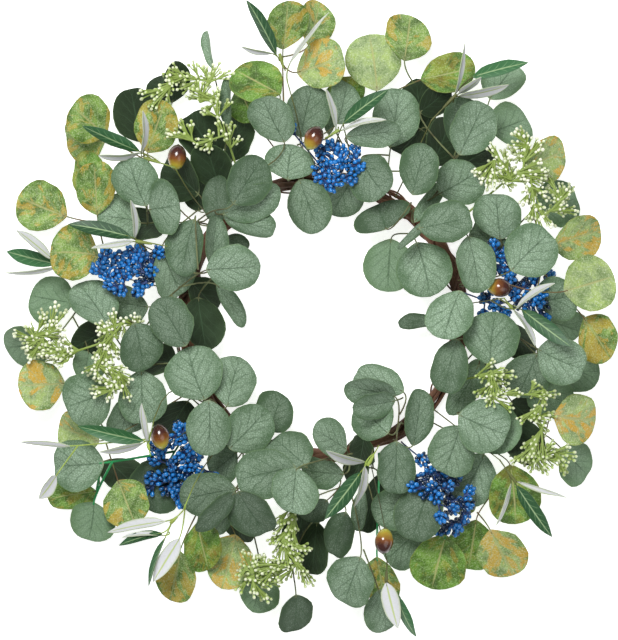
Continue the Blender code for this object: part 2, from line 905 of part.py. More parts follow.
def ring_foot(ring_tree, x, y, radius, rng, tree, reach):
    """A free spot just off the ring's skin near x, y: (the stalk's end, a point further out on the same line)."""
    turn = math.atan2(y, x)
    side = 0.9 if math.hypot(x, y) < RING_RADIUS else 0.35
    for tries in range(400):
        spread = 0.03 + 0.002 * tries
        a = turn + rng.uniform(-spread, spread)
        b = math.pi * (side + rng.uniform(-0.25, 0.25) * (1 + tries / 100))
        if b < 0.0 or b > math.pi:
            continue
        out = RING_RADIUS + 30 * math.cos(b)
        far = Vector((out * math.cos(a), out * math.sin(a), RING_AXIS_HEIGHT + 30 * math.sin(b)))
        skin, normal, _, _ = ring_tree.find_nearest(far)
        foot = skin + normal * FOOT_GAP
        knee = skin + normal * 5.0
        if knee.z > 3 and clear(tree, foot, knee, reach):
            return foot, knee
    return None, None


def lay_out():
    """Lays every piece, level by level, then runs the stalks: {node: [(points, faces)]}."""
    heap = Heap()
    ring = ring_mesh()
    heap.add("vine_ring", ring)
    queue = []
    sprays = {}
    serial = 0
    for kind, table in (("round", ROUND), ("mottled", MOTTLED)):
        for node, rows in table.items():
            rng = random.Random(f"{node} leaves")
            sprays[node] = (kind, [])
            for row in rows:
                leaf = Leaf(kind, row, rng)
                sprays[node][1].append(leaf)
                queue.append((leaf.level, serial, node, [leaf]))
                serial += 1
    hubs = {}
    for node, (hub, rows) in OLIVE.items():
        rng = random.Random(f"{node} leaves")
        leaves = [Leaf("olive", row, rng) for row in rows]
        joint = Ball(hub[0], hub[1], 1.2, 0.3)
        bend = Ball(hub[2], hub[3], 1.2, 0.3)
        hubs[node] = (joint, bend)
        sprays[node] = ("olive", leaves)
        queue.append((leaves[0].level, serial, node, leaves + [joint, bend]))
        serial += 1
    for node, row in FRUIT.items():
        fruit = Fruit(row)
        sprays[node] = ("fruit", [fruit])
        queue.append((fruit.level, serial, node, [fruit]))
        serial += 1
    for kind, table, ball, room in (("berry", BERRIES, BERRY, 8.8), ("seed", SEEDS, BUD, 8.0)):
        for node, tufts in table.items():
            rng = random.Random(f"{node} tufts")
            balls = [b for x, y, radius in tufts for b in tuft(rng, x, y, radius, ball, room)]
            sprays[node] = (kind, balls)
            level = BERRY_LEVEL[node] if kind == "berry" else SEED_LEVEL
            for b in balls:
                queue.append((level + 0.5, serial, node, [b]))
                serial += 1
    queue.sort(key=lambda entry: entry[:2])
    for level, _, node, things in queue:
        x = sum(t.base.x for t in things) / len(things)
        y = sum(t.base.y for t in things) / len(things)
        drop(heap, things, crown(x, y, level))
        for thing in things:
            heap.add(node, thing.mesh(BLADE))
        if node in OLIVE:
            heap.add(node, sweep([t.base for t in things[-2:]], [1.0, 1.0], 3))
    ring_tree = BVHTree.FromPolygons(*ring)
    made = {"vine_ring": [ring]}
    lost = []
    for node, (kind, things) in sprays.items():
        rng = random.Random(f"{node} stalks")
        bodies, missed = run_stalks(node, kind, things, hubs.get(node), heap, ring_tree, rng)
        lost += missed
        made[node] = bodies
        heap.drop_owner(node)
        for mesh in bodies:
            heap.add(node, mesh)
    return made, sprays, lost


def run_stalks(node, kind, things, hub, heap, ring_tree, rng):
    """The node's bodies with their stalks, and what could not be joined."""
    radius = STEM[kind]
    reach = radius + 0.5
    tree = heap.without(node)
    ends = []
    tails = []
    for thing in things:
        if isinstance(thing, Leaf):
            base, back = thing.root()
            for long, down in ((8, 3), (6, 3), (5, 0), (4, -2), (3, 1), (3, 0)):
                tail = base + back * long + Vector((0, 0, -down))
                if tail.z > LOWEST_STALK and clear(tree, base, tail, reach):
                    break
            ends.append(tail)
            tails.append([base])
        elif isinstance(thing, Fruit):
            ends.append(thing.base - thing.way * (FRUIT_LONG + 2))
            tails.append([thing.base - thing.way * (FRUIT_LONG - 4)])
        else:
            ends.append(thing.base.copy())
            tails.append([])
    joints = [] if hub is None else [ball.base.copy() for ball in hub]
    ends += joints
    tails += [[]] * len(joints)
    x = sum(p.x for p in ends) / len(ends)
    y = sum(p.y for p in ends) / len(ends)
    foot, knee = ring_foot(ring_tree, x, y, radius, rng, tree_without_ring(heap, node), reach)
    if foot is None:
        return [], [(node, "no foot")]
    must = ends + [knee]
    low = Vector((min(p.x for p in must) - 14, min(p.y for p in must) - 14, LOWEST_STALK))
    high = Vector((max(p.x for p in must) + 14, max(p.y for p in must) + 14, max(p.z for p in must) + 4))
    own = None
    if kind != "berry" and kind != "seed":
        blades = [t.mesh(BLADE) for t in things]
        corners = [p for points, _ in blades for p in points]
        faces = []
        start = 0
        for points, solid in blades:
            faces += [tuple(start + i for i in face) for face in solid]
            start += len(points)
        own = BVHTree.FromPolygons(corners, faces)
    paths, todo = {}, {0}
    for count in (160, 400, 900):
        roads = Roads(tree, own, reach, must, rng, low, high, count)
        paths, todo = roads.grow(len(ends), range(len(ends)), tails)
        if not todo:
            break
    made = []
    for i, thing in enumerate(things + joints):
        path = tails[i] + [roads.points[j] for j in paths.get(i, [i])]
        if paths.get(i, [0])[-1] == len(ends):
            path.append(foot)
        elif len(path) > 1:
            path[-1] = path[-1] + (path[-1] - path[-2]).normalized() * 0.25
        if len(path) == 1:
            if not isinstance(thing, Vector):
                made.append(thing.mesh(BLADE))
            continue
        first, *rest = at_sharp_turns(path)
        if isinstance(thing, Leaf):
            made.append(thing.mesh(BLADE, first, radius))
        elif isinstance(thing, Fruit):
            made.append(thing.mesh(BLADE))
            rest = [first] + rest
        elif isinstance(thing, Vector):
            rest = [[first[0] + (first[0] - first[1]).normalized() * 0.4] + first[1:]] + rest
        else:
            made.append(headed(first, thing.radius, radius, 3, thing.turn))
        for line in rest:
            made.append(sweep(line, [radius] * (len(line) - 1) + [radius * 0.7], 3, rng.uniform(0, 2)))
    missed = [(node, tuple(round(c) for c in must[i])) for i in todo]
    return made, missed


def at_sharp_turns(path):
    """The path parted wherever it turns sharply, each part run a little past the turn."""
    parts = [[path[0]]]
    for i in range(1, len(path)):
        parts[-1].append(path[i])
        if i + 1 == len(path):
            break
        before = (path[i] - path[i - 1]).normalized()
        after = (path[i + 1] - path[i]).normalized()
        short = min((path[i] - path[i - 1]).length, (path[i + 1] - path[i]).length) < 4.5
        if before.dot(after) < (0.25 if short else -0.3):
            parts[-1][-1] = path[i] + before * 0.5
            parts.append([path[i] - after * 0.5])
    return parts


def headed(path, head, radius, sides, turn):
    """A berry or bud on the end of its stalk, in one body."""
    way = (path[1] - path[0]).normalized()
    line = [path[0] - way * head, path[0], path[0] + way * head * 0.9] + path[1:]
    radii = [0.0, head, radius] + [radius] * (len(path) - 2) + [radius * 0.6]
    return sweep(line, radii, sides, turn)


def tree_without_ring(heap, node):
    faces = [f for f, o in zip(heap.faces, heap.owners) if o not in (node, "vine_ring")]
    return BVHTree.FromPolygons(heap.points, faces)


def paint(kind):
    material = bpy.data.materials.new(kind)
    material.use_nodes = True
    shader = material.node_tree.nodes["Principled BSDF"]
    shader.inputs["Base Color"].default_value = (*COLOURS[kind], 1.0)
    shader.inputs["Roughness"].default_value = 0.3 if kind in ("fruit", "berry") else 0.6
    return material


def object_of(name, mesh, collection):
    points, faces = mesh
    data = bpy.data.meshes.new(name)
    data.from_pydata([p * MM for p in points], [], faces)
    work = bmesh.new()
    work.from_mesh(data)
    bmesh.ops.recalc_face_normals(work, faces=work.faces)
    work.to_mesh(data)
    work.free()
    obj = bpy.data.objects.new(name, data)
    collection.objects.link(obj)
    return obj


def join(name, meshes, solver):
    """One object of the meshes: the first takes the rest in one union."""
    body = object_of(name, meshes[0], bpy.context.scene.collection)
    if len(meshes) == 1:
        return body
    rest = bpy.data.collections.new(f"{name} rest")
    bpy.context.scene.collection.children.link(rest)
    for i, mesh in enumerate(meshes[1:]):
        object_of(f"{name} {i}", mesh, rest)
    union = body.modifiers.new("join", "BOOLEAN")
    union.operation = "UNION"
    union.solver = solver
    union.operand_type = "COLLECTION"
    union.collection = rest
    apply_last(body)
    for obj in list(rest.objects):
        bpy.data.objects.remove(obj)
    bpy.data.collections.remove(rest)
    return body


def apply_last(body):
    bpy.context.view_layer.objects.active = body
    bpy.ops.object.modifier_apply(modifier=body.modifiers[-1].name)


def one_closed_body(data, merge):
    """Triangulates the mesh, drops sealed pockets and scraps, and says whether one closed body is left."""
    work = bmesh.new()
    work.from_mesh(data)
    if merge:
        bmesh.ops.remove_doubles(work, verts=work.verts, dist=merge)
        bmesh.ops.dissolve_degenerate(work, edges=work.edges, dist=merge)
    bmesh.ops.triangulate(work, faces=work.faces)
    shells = shells_in(work)
    scraps = [face for shell in shells[1:] for face in shell]
    found = len(scraps) < SCRAP
    if scraps:
        bmesh.ops.delete(work, geom=scraps, context="FACES")
    found = found and all(len(edge.link_faces) == 2 for edge in work.edges)
    work.to_mesh(data)
    work.free()
    return found


def shells_in(work):
    """The faces of each shell that hangs together by its edges, the largest shell first."""
    left = set(work.faces)
    shells = []
    while left:
        stack = [left.pop()]
        shell = []
        while stack:
            face = stack.pop()
            shell.append(face)
            for edge in face.edges:
                for other in edge.link_faces:
                    if other in left:
                        left.remove(other)
                        stack.append(other)
        shells.append(shell)
    return sorted(shells, key=len, reverse=True)


def fuse(name, meshes, material, shift):
    """Joins the meshes into one closed body and thins the slivers that the union leaves.

    Where neither solver gives a closed body, the pieces are nudged a little and joined again.
    """
    rng = random.Random(f"{name} nudges {NUDGE_SEED}")
    raw = sum(len(faces) for _, faces in meshes)
    for tries in range(NUDGES):
        moved = []
        for points, faces in meshes:
            nudge = Vector([rng.uniform(-NUDGE, NUDGE) for _ in range(3)])
            moved.append(([p + shift + nudge for p in points], faces))
        for solver in ("EXACT", "MANIFOLD"):
            body = join(name, moved, solver)
            if one_closed_body(body.data, 0.0):
                if len(meshes) > 1:
                    thin = body.modifiers.new("thin", "DECIMATE")
                    thin.ratio = min(0.95, raw * THINNED / len(body.data.polygons))
                    apply_last(body)
                if one_closed_body(body.data, 0.000001):
                    body.data.materials.clear()
                    body.data.materials.append(material)
                    return body
            bpy.data.objects.remove(body)
    raise ValueError(f"{name} did not join into one closed body")


def main():
    for obj in list(bpy.data.objects):
        bpy.data.objects.remove(obj)
    made, sprays, lost = lay_out()
    for where in lost:
        print("not joined:", *where)
    every = [p for meshes in made.values() for points, _ in meshes for p in points]
    middle_x = (min(p.x for p in every) + max(p.x for p in every)) / 2
    middle_y = (min(p.y for p in every) + max(p.y for p in every)) / 2
    shift = Vector((-middle_x, -middle_y, 0.0))
    materials = {kind: paint(kind) for kind in COLOURS}
    total = 0
    for node, meshes in made.items():
        kind = sprays[node][0] if node in sprays else "ring"
        body = fuse(node, meshes, materials[kind], shift)
        total += len(body.data.polygons)
        print(node, len(body.data.polygons))
    print("triangles", total, "top", round(max(p.z for p in every), 1), "shift", tuple(shift))


main()
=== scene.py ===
"""Eucalyptus wreath: leaves, berries, buds, olives and a wound vine ring over the solid part.

The tables and the layout are in millimetres from the centre of the vine ring, and lay every leaf,
berry and stalk where the solid part has it. The finished pieces are in metres, in the part's own
frame.
"""

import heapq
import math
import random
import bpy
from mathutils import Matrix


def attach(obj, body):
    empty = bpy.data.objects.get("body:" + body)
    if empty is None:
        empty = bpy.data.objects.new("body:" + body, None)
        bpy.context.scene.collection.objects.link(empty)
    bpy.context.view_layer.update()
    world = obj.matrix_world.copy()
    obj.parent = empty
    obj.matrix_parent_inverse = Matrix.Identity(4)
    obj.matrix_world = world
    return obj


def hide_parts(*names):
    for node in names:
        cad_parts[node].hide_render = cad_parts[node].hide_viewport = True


bl_info = {
    "name": "Eucalyptus Wreath",
    "version": (1, 0, 0),
    "blender": (4, 5, 0),
    "location": "3D View > Sidebar > Wreath",
    "description": "Models the leaves, berries, buds, olives and vine ring of a wreath",
    "category": "Add Mesh",
}

import bmesh
import bpy
import numpy as np
from bpy.props import FloatProperty, FloatVectorProperty, IntProperty, PointerProperty
from mathutils import Vector
from mathutils.bvhtree import BVHTree

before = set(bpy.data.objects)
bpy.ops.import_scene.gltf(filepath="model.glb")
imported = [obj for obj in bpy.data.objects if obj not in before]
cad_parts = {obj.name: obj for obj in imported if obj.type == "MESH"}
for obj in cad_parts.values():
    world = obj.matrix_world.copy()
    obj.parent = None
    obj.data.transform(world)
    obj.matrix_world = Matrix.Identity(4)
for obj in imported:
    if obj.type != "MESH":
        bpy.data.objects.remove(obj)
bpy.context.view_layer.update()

MM = 0.001
FAR = 1e9
SKY = 500.0

# The vine ring: its centre line and tube, its height, the relief of its strands, and its facets.
RING_RADIUS = 131.5
RING_TUBE = 8.8
RING_AXIS_HEIGHT = 6.8
RING_RELIEF = 1.0
RING_STEPS = 56
RING_SIDES = 8
RING_LOBES = 3
RING_TWISTS = 13
RING_SEAM = 0.625 * math.pi

# How things are laid: a blade's thickness, the gap over what lies below, the height of each level
# and where the wreath is deepest, and how far and how often a clash raises a thing.
BLADE = 0.8
LEAF_GAP = 1.3
LOWEST = 6.0
LEVEL_STEP = 14.0
CROWN_RADIUS = 155.0
CROWN_SPREAD = 150.0
NUDGE = 1.2
MOST_NUDGES = 40

# A leaf that is seen smaller than these is pitched or rolled, up to these angles.
TRUE_LENGTH = {"round": 52.0, "mottled": 54.0, "olive": 62.0}
TRUE_WIDTH = {"round": 48.0, "mottled": 48.0, "olive": 15.0}
MOST_PITCH = math.radians(24)
MOST_ROLL = {"round": 34.0, "mottled": 30.0, "olive": 62.0}

# Half of a solid blade's outline, base to tip: share of the length, share of the half width.
HALF = {
    "round": [(0.17, 0.68), (0.55, 1.0), (0.93, 0.52)],
    "mottled": [(0.16, 0.64), (0.56, 1.0), (0.94, 0.56)],
    "olive": [(0.3, 0.94), (0.68, 0.86)],
}
BASE_HALF = 0.8

# How stalks are run: the ways a leaf's stalk may set off, back and down; what each piece of a way,
# a turn and a crossing cost; how many places are tried, how many are joined to each and how far
# outside they lie; how far apart joints are on a way; how low stalks may run.
TAILS = ((8, 3), (6, 3), (5, 0), (4, -2), (3, 1), (3, 0))
HOP = 10.0
TURN = 14.0
CROSSING = 60.0
ROAD_POINTS = (160, 400, 900)
NEIGHBOURS = 16
ROAM = 14
JOINT_ROOM = 7.0
LOWEST_STALK = 3.0

# A stalk's foot: its gap to the ring and its knee, and how far off and how often it's looked for.
FOOT_GAP = 0.38
KNEE = 5.0
FOOT_VIEW = 30.0
FOOT_TRIES = 400

# Radii of the stalks, berries, buds and the joint of an olive sprig, and half sizes of an olive.
STEM = {"round": 0.9, "mottled": 0.85, "olive": 0.8, "fruit": 0.8, "berry": 0.5, "seed": 0.5}
BERRY = 2.7
BUD = 1.7
HUB = 1.2
FRUIT_LONG = 12.0
FRUIT_WIDE = 9.0

# Leaves: base x, y, tip x, y and width as seen from in front, then their level, 0 the lowest.
ROUND = {
    "eucalyptus_nnw": [
        (-90, 180, -90, 232, 12, 3), (-36, 167, -58, 211, 41, 4), (-85, 150, -78, 200, 30, 0),
        (-84, 108, -56, 151, 42, 4), (-118, 102, -118, 146, 30, 0), (-105, 238, -112, 276, 9, 1),
        (-100, 150, -128, 196, 42, 0), (-98, 122, -112, 166, 38, 0),
    ],
    "eucalyptus_n": [
        (-20, 172, -8, 222, 42, 2), (-33, 132, -28, 165, 48, 3), (-22, 132, -4, 81, 42, 2),
        (30, 135, 8, 97, 40, 1), (15, 185, 25, 226, 32, 2), (8, 176, 2, 206, 12, 0),
    ],
    "eucalyptus_nne": [
        (36, 152, 60, 116, 44, 3), (61, 85, 50, 109, 58, 2), (66, 163, 74, 220, 46, 2),
        (23, 172, 76, 178, 26, 4), (85, 117, 97, 165, 38, 4), (98, 175, 90, 228, 36, 0),
        (95, 180, 72, 156, 40, 0), (106, 146, 124, 190, 36, 0),
    ],
    "eucalyptus_ne": [
        (160, 210, 185, 243, 38, 0), (163, 178, 198, 192, 46, 1), (131, 155, 155, 206, 42, 4),
        (127, 162, 140, 211, 36, 2), (112, 118, 150, 140, 46, 2), (88, 92, 118, 132, 16, 1),
        (128, 142, 164, 164, 38, 0), (94, 196, 122, 220, 28, 0),
    ],
    "eucalyptus_ene": [
        (66, 76, 63, 25, 50, 1), (105, 98, 71, 66, 9, 4), (90, 72, 103, 21, 54, 3),
        (92, 86, 144, 97, 40, 4), (140, 78, 150, 24, 38, 4),
    ],
    "eucalyptus_e": [
        (170, 75, 165, 120, 46, 2), (180, 45, 218, 82, 52, 4), (205, 105, 246, 115, 47, 0),
        (205, 15, 241, 22, 44, 1), (176, 60, 142, 88, 36, 0), (212, -2, 250, -14, 36, 0),
    ],
    "eucalyptus_ese": [
        (131, 27, 115, -20, 44, 4), (108, -2, 72, -6, 15, 1), (128, -20, 115, -73, 36, 3),
        (160, -45, 165, 5, 54, 4), (205, -35, 187, -75, 46, 2), (205, -30, 250, -50, 46, 3),
        (215, -40, 265, -58, 42, 0), (180, -80, 200, -100, 30, 0), (150, -45, 122, -92, 27, 2),
        (136, -50, 172, -64, 34, 0), (176, -10, 204, -34, 28, 0),
    ],
    "eucalyptus_se": [
        (130, -92, 178, -112, 52, 4), (150, -85, 180, -125, 50, 2), (132, -103, 115, -150, 46, 3),
        (155, -130, 130, -178, 48, 2), (180, -95, 200, -140, 40, 0), (230, -125, 255, -152, 40, 0),
        (196, -66, 238, -82, 36, 0),
    ],
    "eucalyptus_sse": [
        (88, -122, 95, -67, 28, 3), (78, -70, 30, -52, 30, 2), (70, -75, 22, -65, 28, 3),
        (70, -79, 30, -86, 26, 4), (62, -110, 35, -78, 46, 1), (72, -117, 70, -168, 38, 4),
    ],
    "eucalyptus_ssse": [
        (100, -170, 47, -188, 40, 2), (102, -160, 85, -213, 46, 3), (95, -200, 60, -232, 44, 1),
        (55, -150, 40, -208, 25, 0), (38, -163, 35, -204, 14, 2), (36, -228, 20, -274, 46, 3),
        (55, -260, 62, -300, 38, 1), (-16, -178, -26, -222, 34, 0), (42, -128, 25, -158, 24, 0),
    ],
    "eucalyptus_s": [
        (24, -125, -8, -105, 34, 3), (20, -150, -20, -145, 30, 1), (-24, -142, -28, -187, 46, 4),
        (22, -185, 8, -229, 28, 2), (5, -175, -22, -192, 24, 1), (-5, -195, -10, -247, 30, 0),
        (40, -112, 35, -140, 26, 0), (-24, -265, -28, -302, 32, 0),
    ],
    "eucalyptus_ssw": [
        (-25, -142, -83, -155, 48, 3), (-15, -140, -48, -112, 44, 2), (-88, -125, -52, -88, 46, 3),
        (-50, -108, -38, -72, 38, 1),
    ],
    "eucalyptus_sw": [
        (-82, -163, -135, -175, 42, 3), (-82, -166, -118, -203, 18, 4),
        (-88, -172, -103, -206, 20, 1), (-80, -165, -52, -207, 40, 3),
        (-82, -128, -108, -150, 36, 0), (-76, -186, -80, -213, 34, 0),
        (-58, -238, -65, -280, 38, 0),
    ],
    "eucalyptus_wsw": [
        (-90, -84, -78, -38, 46, 2), (-112, -78, -128, -28, 56, 4), (-107, -78, -108, -131, 42, 4),
        (-128, -80, -150, -112, 40, 0),
    ],
    "eucalyptus_sw_outer": [
        (-208, -138, -258, -142, 50, 4), (-145, -135, -168, -185, 54, 1),
        (-217, -175, -222, -212, 44, 3), (-205, -135, -178, -160, 36, 0),
    ],
    "eucalyptus_w": [
        (-202, -70, -245, -86, 54, 3), (-172, -50, -170, -103, 46, 2),
        (-183, -75, -192, -112, 36, 1), (-178, -5, -170, -50, 42, 3), (-222, -32, -228, -58, 30, 1),
        (-262, -25, -303, -30, 42, 0), (-238, 15, -281, 22, 46, 0), (-203, -6, -232, 34, 42, 2),
        (-205, -12, -238, -30, 34, 0), (-140, -42, -176, -40, 34, 0), (-126, 36, -98, 6, 30, 0),
    ],
    "eucalyptus_wnw": [
        (-104, 48, -100, 97, 22, 2), (-110, 45, -59, 48, 44, 4), (-100, 32, -73, -8, 17, 1),
        (-122, 94, -134, 40, 36, 4), (-152, 66, -133, 20, 42, 2), (-130, -27, -157, 18, 40, 4),
        (-118, 20, -110, -30, 38, 0), (-166, 10, -205, 18, 36, 1),
    ],
    "eucalyptus_wnw_inner": [
        (-93, 98, -40, 122, 34, 2), (-98, 90, -104, 136, 28, 1), (-94, 99, -43, 82, 28, 1),
        (-96, 76, -71, 66, 20, 1),
    ],
    "eucalyptus_nw": [
        (-168, 106, -185, 152, 44, 4), (-165, 103, -136, 108, 54, 4), (-172, 92, -212, 98, 40, 2),
        (-172, 168, -183, 221, 42, 0), (-150, 205, -155, 235, 30, 0), (-142, 205, -139, 244, 26, 0),
        (-118, 118, -152, 150, 40, 0), (-150, 92, -190, 84, 34, 0),
    ],
}
MOTTLED = {
    "mottled_nw": [
        (-205, 175, -238, 203, 46, 3), (-208, 168, -247, 172, 40, 1), (-205, 130, -240, 143, 44, 1),
        (-167, 158, -150, 206, 44, 2),
    ],
    "mottled_w": [
        (-213, 98, -216, 150, 38, 2), (-244, 97, -290, 116, 49, 1), (-213, 60, -259, 62, 54, 3),
    ],
    "mottled_n": [
        (-40, 214, -83, 237, 44, 3), (-65, 188, -80, 222, 36, 0), (-37, 256, -33, 302, 40, 2),
        (-12, 260, -2, 302, 34, 1), (-24, 234, 21, 250, 46, 3),
    ],
    "mottled_nne": [
        (94, 228, 146, 240, 38, 2), (53, 217, 45, 271, 54, 1), (79, 246, 85, 290, 46, 2),
        (20, 195, 26, 231, 36, 0),
    ],
    "mottled_e": [
        (193, 143, 233, 160, 40, 2), (220, 68, 267, 84, 40, 2), (230, 25, 278, 40, 54, 3),
        (250, 0, 275, -38, 40, 2),
    ],
    "mottled_se": [
        (222, -93, 263, -98, 50, 2), (180, -140, 185, -197, 50, 2), (160, -203, 183, -246, 46, 2),
        (147, -193, 140, -241, 48, 1), (126, -185, 146, -178, 15, 1),
    ],
    "mottled_s": [(118, -207, 105, -258, 54, 1), (52, -229, 60, -273, 36, 0)],
    "mottled_ssw": [
        (-135, -222, -145, -269, 40, 3), (-120, -195, -108, -240, 40, 2),
        (-82, -207, -95, -257, 46, 1),
    ],
    "mottled_wsw": [
        (-195, -155, -178, -197, 46, 3), (-215, -165, -262, -172, 30, 1),
        (-213, -118, -252, -103, 44, 1), (-245, -62, -289, -64, 48, 2),
    ],
}
# Olive sprigs: where the leaves meet, a point on the stalk, then the leaves.
OLIVE = {
    "olive_sprig_nw": ((-168, 152, -140, 143), [
        (-174, 158, -228, 182, 12, 5), (-173, 155, -212, 152, 6, 5), (-170, 156, -168, 196, 6, 5),
    ]),
    "olive_sprig_n": ((-40, 250, -33, 225), [
        (-43, 251, -71, 302, 12, 5), (-48, 251, -77, 257, 4, 5), (-32, 243, 5, 292, 4, 5),
    ]),
    "olive_sprig_top": ((15, 178, 3, 171), [
        (14, 181, 4, 218, 6, 5), (20, 186, 62, 217, 14, 5), (18, 180, 60, 190, 6, 5),
    ]),
    "olive_sprig_ne": ((127, 212, 104, 188), [
        (127, 212, 136, 261, 3, 5), (143, 230, 195, 243, 14, 5), (131, 210, 178, 220, 9, 5),
        (131, 213, 152, 228, 6, 5),
    ]),
    "olive_sprig_w": ((-176, 73, -147, 68), [
        (-182, 78, -242, 90, 14, 5), (-180, 74, -219, 67, 6, 5), (-177, 76, -181, 112, 6, 5),
    ]),
    "olive_sprig_w_outer": ((-248, 51, -236, 50), [
        (-257, 57, -290, 84, 9, 1), (-255, 52, -303, 64, 15, 1), (-252, 47, -304, 41, 4, 1),
    ]),
    "olive_sprig_e": ((180, 10, 173, 19), [
        (183, 10, 220, 35, 6, 5), (184, 8, 204, -26, 6, 5), (190, 8, 236, -27, 16, 5),
    ]),
    "olive_sprig_wsw": ((-165, -121, -163, -130), [
        (-170, -117, -232, -103, 14, 5), (-170, -120, -210, -128, 6, 5),
        (-168, -118, -173, -82, 6, 5), (-240, -123, -288, -119, 5, 5),
        (-252, -150, -268, -172, 12, 5),
    ]),
    "olive_sprig_sw": ((-143, -194, -132, -183), [
        (-150, -192, -205, -203, 10, 5), (-150, -205, -190, -206, 4, 5),
        (-152, -203, -192, -214, 9, 5), (-135, -209, -160, -250, 16, 5),
        (-150, -208, -165, -253, 5, 5),
    ]),
    "olive_sprig_s": ((44, -139, 54, -121), [
        (40, -138, 3, -127, 8, 5), (42, -142, 32, -180, 7, 5), (37, -146, 3, -190, 16, 5),
    ]),
    "olive_sprig_se": ((184, -156, 169, -135), [
        (186, -155, 232, -170, 4, 5), (182, -158, 168, -197, 4, 5), (185, -160, 218, -208, 14, 5),
    ]),
    "olive_sprig_sse": ((61, -250, 62, -232), [
        (61, -252, 72, -295, 17, 5), (70, -265, 88, -303, 9, 5),
    ]),
}
# Olives: middle x, y, the way that its far end points, and its level.
FRUIT = {
    "olive_fruit_nw": (-138, 153, 0.1, 0.9, 4),
    "olive_fruit_n": (-8, 171, 0.45, 0.85, 5),
    "olive_fruit_e": (169, 29, 0.95, -0.15, 3),
    "olive_fruit_wsw": (-154, -113, -0.2, 0.97, 4),
    "olive_fruit_s": (59, -212, -0.12, -0.99, 5),
}
# Bunches of berries and sprays of buds: middle x, y and radius of each tuft.
BERRIES = {
    "berry_bunch_w": [(-205, 48, 17), (-172, 48, 18), (-195, 30, 5), (-176, 28, 5), (-158, 65, 4)],
    "berry_bunch_n": [(15, 145, 21), (-29, 180, 4)],
    "berry_bunch_e": [(206, 20, 9), (168, 52, 11), (167, 12, 7)],
    "berry_bunch_sw": [
        (-135, -115, 10), (-122, -132, 9), (-155, -145, 12), (-138, -152, 14), (-118, -147, 6),
        (-139, -168, 2),
    ],
    "berry_bunch_se": [
        (96, -138, 6), (93, -160, 9), (110, -157, 12), (115, -172, 7), (132, -182, 9),
        (118, -198, 10),
    ],
}
BERRY_LEVEL = {
    "berry_bunch_w": 3, "berry_bunch_n": 3, "berry_bunch_e": 2, "berry_bunch_sw": 2,
    "berry_bunch_se": 3,
}
SEEDS = {
    "seed_spray_nw": [
        (-140, 225, 8), (-162, 210, 6), (-128, 232, 6), (-115, 215, 7), (-100, 235, 5),
        (-97, 205, 6), (-138, 182, 6), (-120, 163, 5), (-90, 178, 4),
    ],
    "seed_spray_ne": [
        (164, 152, 6), (188, 160, 7), (225, 128, 6), (226, 110, 5), (208, 97, 6), (200, 112, 6),
        (178, 139, 8), (200, 136, 6), (158, 134, 5),
    ],
    "seed_spray_w": [
        (-283, -25, 6), (-270, -20, 8), (-257, -10, 8), (-258, -30, 9), (-248, -34, 4),
        (-203, -15, 8), (-205, -38, 10), (-198, -58, 9), (-190, -3, 4),
    ],
    "seed_spray_se": [
        (166, -55, 8), (160, -68, 7), (172, -77, 6), (208, -78, 8), (206, -93, 8), (208, -125, 9),
        (200, -137, 8), (218, -130, 8), (232, -136, 4),
    ],
    "seed_spray_s": [
        (-30, -198, 7), (-38, -212, 7), (-28, -225, 7), (-42, -237, 7), (-65, -225, 5),
        (-62, -242, 9), (-70, -254, 6), (-50, -252, 6), (-20, -245, 4),
    ],
}
SEED_LEVEL = 4


def on_ring(turn, side, reach, lowest=0.0):
    """A point at reach from the ring's centre line, and no lower than lowest."""
    out = RING_RADIUS + reach * math.cos(side)
    height = max(RING_AXIS_HEIGHT + reach * math.sin(side), lowest)
    return Vector((out * math.cos(turn), out * math.sin(turn), height))


def ring_point(turn, side):
    """A point of the ring's skin: strands wind round the tube, and its underside is cut flat."""
    reach = RING_TUBE + RING_RELIEF * math.cos(RING_LOBES * side + RING_TWISTS * turn)
    return on_ring(turn, side, reach)


def ring_mesh():
    points = []
    faces = []
    for i in range(RING_STEPS):
        near = i * RING_SIDES
        far = (i + 1) % RING_STEPS * RING_SIDES
        for j in range(RING_SIDES):
            side = math.tau * j / RING_SIDES - RING_SEAM
            points.append(ring_point(math.tau * i / RING_STEPS, side))
            k = (j + 1) % RING_SIDES
            faces += [(near + j, far + j, far + k), (near + j, far + k, near + k)]
    return points, faces


def merged(meshes):
    """Several meshes as one."""
    points = []
    faces = []
    for own, solid in meshes:
        start = len(points)
        points += own
        faces += [tuple(start + i for i in face) for face in solid]
    return points, faces


class Laid:
    """Anything that is dropped on what has been laid before it."""

    def raise_by(self, height):
        self.base.z += height


